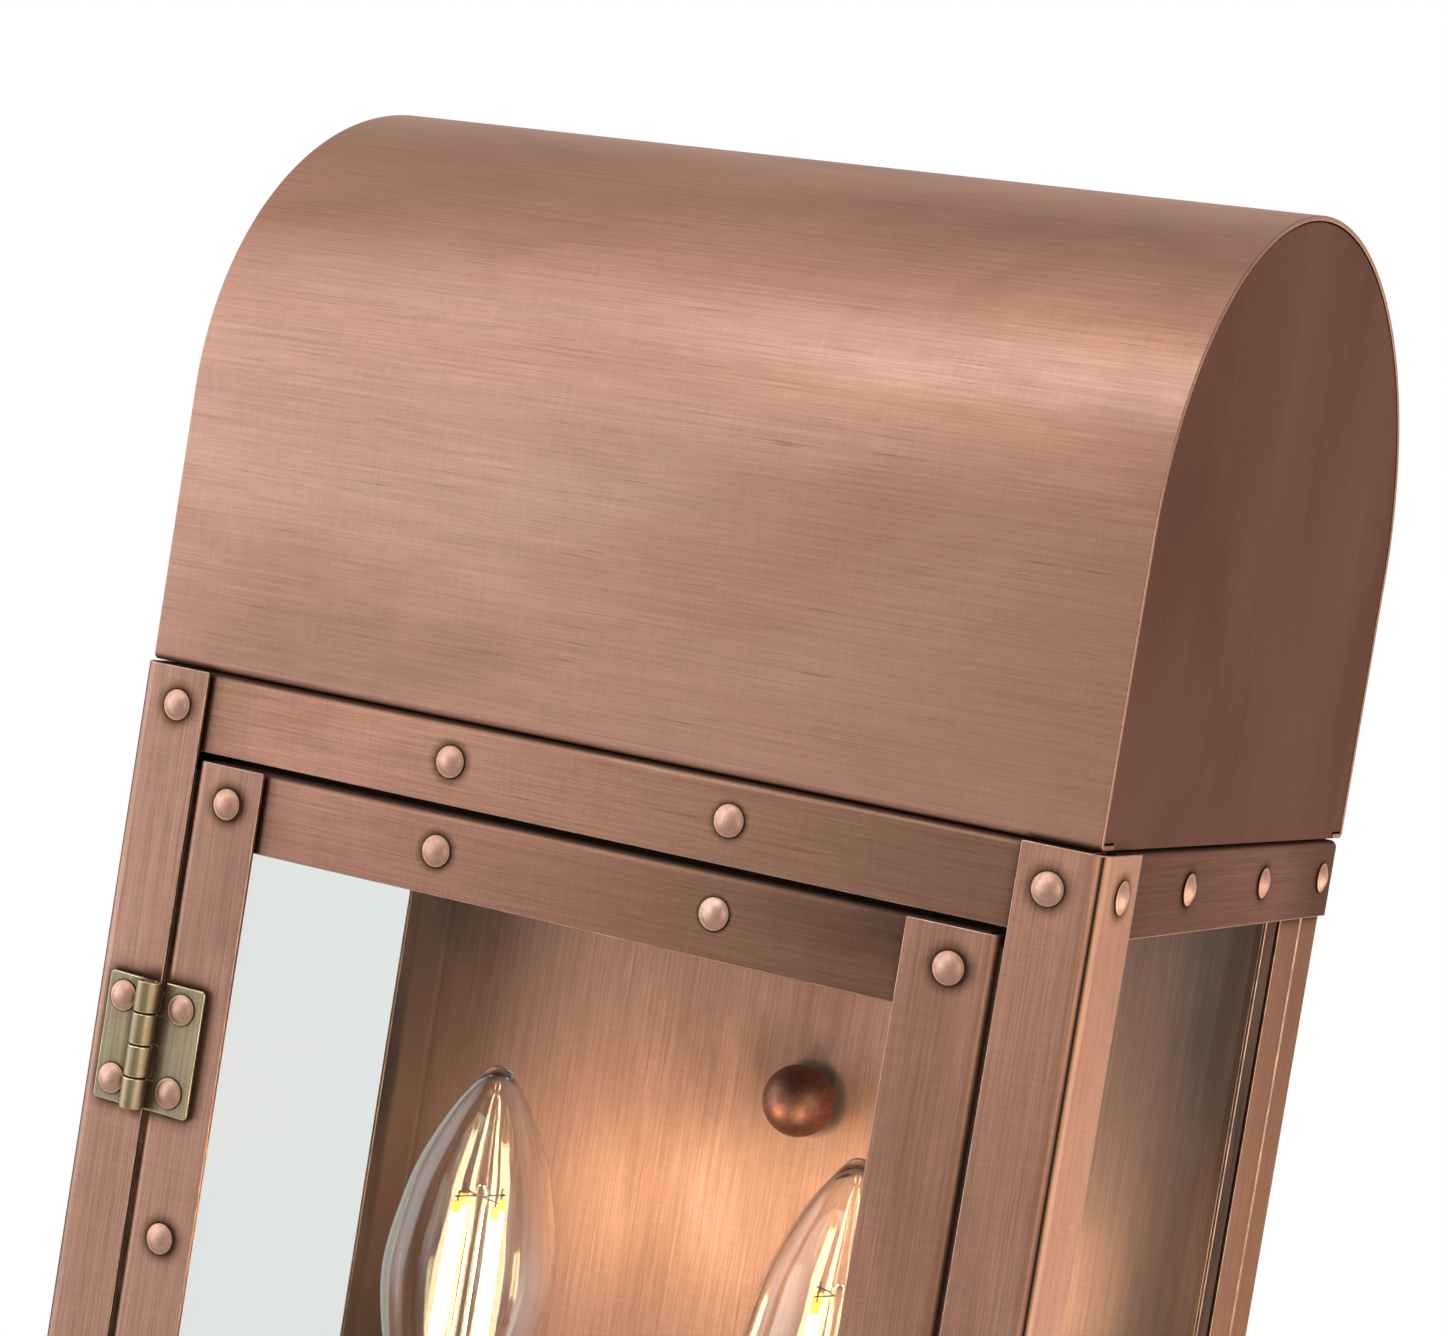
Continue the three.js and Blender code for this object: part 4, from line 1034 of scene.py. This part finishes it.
def bulb_inside(side, place, body, neck):
    """The glass stem, the four lit sticks with their ends, and the wires that hold them."""
    flare = above(neck, (0, 1.2), (5.2, 1.2), (4.4, 6), (2.2, 11))
    stem = [*flare, *above(neck, (1.5, 20), (1.3, 50), (1.7, 52), (1.5, 54), (0, 54.6))]
    stem_piece = turned_piece("bulb_stem_" + side, stem, place, stem_glass, body, sides=24)
    stem_piece.visible_shadow = False
    bottom, top = neck + 16 * MM, neck + 52 * MM
    sticks, ends, wires = bmesh.new(), bmesh.new(), bmesh.new()
    for quarter in range(4):
        angle = math.radians(68 + 90 * quarter)
        foot = Vector((6.5 * MM * math.cos(angle), 6.5 * MM * math.sin(angle), bottom))
        head = Vector((5.5 * MM * math.cos(angle), 5.5 * MM * math.sin(angle), top))
        foot, head = (Vector((place[0], place[1], 0)) + p for p in (foot, head))
        lean = (head - foot).to_track_quat("Z", "Y").to_matrix().to_4x4()
        length = (head - foot).length
        base = Matrix.Translation(foot) @ lean
        r = 1.05 * MM
        stick = [(0, 3 * MM), (r, 3.2 * MM), (r, length - 3.2 * MM), (0, length - 3 * MM)]
        revolve(sticks, stick, base, 12)
        for z0, z1 in ((0.6 * MM, 3.1 * MM), (length - 3.1 * MM, length - 0.6 * MM)):
            revolve(ends, [(0, z0), (r * 0.92, z0 + 0.2 * MM), (r * 0.92, z1 - 0.2 * MM), (0, z1)], base, 12)
        for level, z in ((head, top + 0.3 * MM), (foot, bottom - 0.3 * MM)):
            middle = Vector((place[0], place[1], z))
            arm = Vector((level.x, level.y, z)) - middle
            turn = arm.to_track_quat("Z", "Y").to_matrix().to_4x4()
            reach, thick = arm.length + 0.9 * MM, 0.17 * MM
            wire = [(0, 0.8 * MM), (thick, 0.8 * MM), (thick, reach), (0, reach)]
            revolve(wires, wire, Matrix.Translation(middle) @ turn, 8)
        hook_top = length + 1.6 * MM
        hook = [(0, -0.9 * MM), (0.18 * MM, -0.9 * MM), (0.18 * MM, hook_top), (0, hook_top)]
        revolve(wires, hook, base, 8)
    for bm, part, material in (
        (sticks, "filaments", filament_glow),
        (ends, "filament_ends", filament_end),
        (wires, "filament_wires", wire_metal),
    ):
        piece = new_piece(f"bulb_{part}_{side}", bm, [material], body)
        shaded(piece.data, 40)


# ---- CAD nodes that keep their own mesh ----
KEPT = (
    (plate_copper, ["top_plate", "floor_plate"]),
    (steel, ["hood_bracket_left", "hood_bracket_right", "mounting_bar", "door_strike"]),
    (steel, ["wall_stud_top", "wall_stud_bottom"]),
    (pane_glass, ["side_glass_left", "side_glass_right", "door_glass"]),
    (channel_copper, ["glass_channel_left", "glass_channel_right"]),
    (phenolic, ["lamp_socket_left", "lamp_socket_right", "door_catch"]),
    (nickel, ["bulb_tip_left", "bulb_tip_right"]),
    (insulation, ["supply_lead"]),
)


def finish_kept_nodes():
    for material, names in KEPT:
        for name in names:
            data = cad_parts[name].data
            data.materials.clear()
            data.materials.append(material)


# ---- studio ----
VIEW_ANGLES = (27.04, 2.95, 9.18)  # azimuth, elevation and roll, in degrees
VIEW_PLACE = (0.3004, -0.6799, 0.2031)
VIEW_LENS = 85.03
SENSOR = 36.0
FLOOR_LEVEL = -0.6
LAMP_WATTS = 0.27
LAMP_COLOUR = (1.0, 0.86, 0.6)


def make_camera():
    azimuth, elevation, roll = (math.radians(a) for a in VIEW_ANGLES)
    forward = Vector(
        (
            -math.sin(azimuth) * math.cos(elevation),
            math.cos(azimuth) * math.cos(elevation),
            -math.sin(elevation),
        )
    )
    right = Vector((math.cos(azimuth), math.sin(azimuth), 0))
    up = right.cross(forward)
    axis_x = math.cos(roll) * right + math.sin(roll) * up
    axis_y = -math.sin(roll) * right + math.cos(roll) * up
    data = bpy.data.cameras.new("photo_camera")
    data.sensor_width = SENSOR
    data.lens = VIEW_LENS
    data.clip_start, data.clip_end = 0.05, 20
    camera = linked("photo_camera", data)
    turn = Matrix((axis_x, axis_y, -forward)).transposed().to_4x4()
    camera.matrix_world = Matrix.Translation(VIEW_PLACE) @ turn
    bpy.context.scene.camera = camera


def soft_box(name, azimuth, elevation, distance, width, height, watts, colour):
    """A large soft light. Azimuth 0 is straight in front and 90 on the right."""
    a, e = math.radians(azimuth), math.radians(elevation)
    away = Vector((math.sin(a) * math.cos(e), -math.cos(a) * math.cos(e), math.sin(e)))
    data = bpy.data.lights.new(name, "AREA")
    data.shape = "RECTANGLE"
    data.size, data.size_y = width, height
    data.energy = watts
    data.color = colour
    light = linked(name, data)
    light.location = Vector((0, -0.07, 0.12)) + away * distance
    light.rotation_mode = "QUATERNION"
    light.rotation_quaternion = away.to_track_quat("Z", "Y")
    light.visible_camera = False


def studio():
    soft_box("key", -20, 50, 1.5, 0.9, 0.6, 4.6, (0.94, 0.98, 1.02))
    for side in LAMPS:
        lo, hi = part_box("bulb_glass_" + side)
        data = bpy.data.lights.new("lamp_" + side, "POINT")
        data.energy = LAMP_WATTS
        data.color = LAMP_COLOUR
        data.shadow_soft_size = 0.012
        light = linked("lamp_" + side, data)
        light.location = ((lo.x + hi.x) / 2, (lo.y + hi.y) / 2, lo.z + 34 * MM)
        light.visible_camera = False
        light.visible_transmission = False
        light.visible_glossy = False


class Sky:
    """The studio's light from all round: an even level with soft bright areas."""

    def __init__(self, level):
        world = bpy.data.worlds.new("studio_world")
        bpy.context.scene.world = world
        world.use_nodes = True
        self.nodes, self.links = world.node_tree.nodes, world.node_tree.links
        self.direction = self.nodes.new("ShaderNodeTexCoord").outputs["Generated"]
        base = self.background((1.0, 0.975, 0.95))
        base.inputs["Strength"].default_value = level
        self.total = base.outputs["Background"]

    def background(self, colour):
        node = self.nodes.new("ShaderNodeBackground")
        node.inputs["Color"].default_value = (*colour, 1)
        return node

    def add_area(self, azimuth, elevation, reach, strength, colour):
        """A soft round area that fades out at its half angle, reach."""
        a, e = math.radians(azimuth), math.radians(elevation)
        dot = self.nodes.new("ShaderNodeVectorMath")
        dot.operation = "DOT_PRODUCT"
        dot.inputs[1].default_value = (math.sin(a) * math.cos(e), -math.cos(a) * math.cos(e), math.sin(e))
        self.links.new(self.direction, dot.inputs[0])
        soft = self.nodes.new("ShaderNodeMapRange")
        soft.interpolation_type = "SMOOTHSTEP"
        soft.inputs["From Min"].default_value = math.cos(math.radians(reach))
        soft.inputs["From Max"].default_value = 1.0
        soft.inputs["To Max"].default_value = strength
        self.links.new(dot.outputs["Value"], soft.inputs["Value"])
        area = self.background(colour)
        self.links.new(soft.outputs["Result"], area.inputs["Strength"])
        plus = self.nodes.new("ShaderNodeAddShader")
        self.links.new(self.total, plus.inputs[0])
        self.links.new(area.outputs["Background"], plus.inputs[1])
        self.total = plus.outputs["Shader"]

    def finish(self):
        """White where the camera looks straight at it, and the studio's light for all else."""
        seen = self.nodes["Background"]
        seen.inputs["Color"].default_value = (1, 1, 1, 1)
        path = self.nodes.new("ShaderNodeLightPath")
        mix = self.nodes.new("ShaderNodeMixShader")
        self.links.new(path.outputs["Is Camera Ray"], mix.inputs["Fac"])
        self.links.new(self.total, mix.inputs[1])
        self.links.new(seen.outputs["Background"], mix.inputs[2])
        self.links.new(mix.outputs["Shader"], self.nodes["World Output"].inputs["Surface"])


def backdrop():
    sky = Sky(0.27)
    cool, warm = (0.88, 0.98, 1.12), (1.0, 0.93, 0.85)
    sky.add_area(-62, 8, 45, 1.9, cool)
    sky.add_area(63, 5, 34, 2.2, warm)
    sky.add_area(118, -26, 32, 2.5, warm)
    sky.add_area(0, 88, 62, 0.3, cool)
    sky.add_area(150, 0, 55, 0.3, warm)
    sky.add_area(-150, 0, 55, 0.3, warm)
    sky.finish()
    bm = bmesh.new()
    bmesh.ops.create_grid(bm, x_segments=2, y_segments=2, size=0.9)
    mesh = bpy.data.meshes.new("studio_floor")
    bm.to_mesh(mesh)
    bm.free()
    floor = linked("studio_floor", mesh)
    floor.location.z = FLOOR_LEVEL
    mesh.materials.append(floor_paint())
    bpy.context.scene.view_settings.view_transform = "Standard"


make_camera()
front_posts()
rear_posts()
front_rails()
side_rails()
back_panel()
hood()
door()
door_knob()
hinges()
ball_nuts()
cluster()
arms_and_candles()
bulbs()
finish_kept_nodes()
studio()
backdrop()
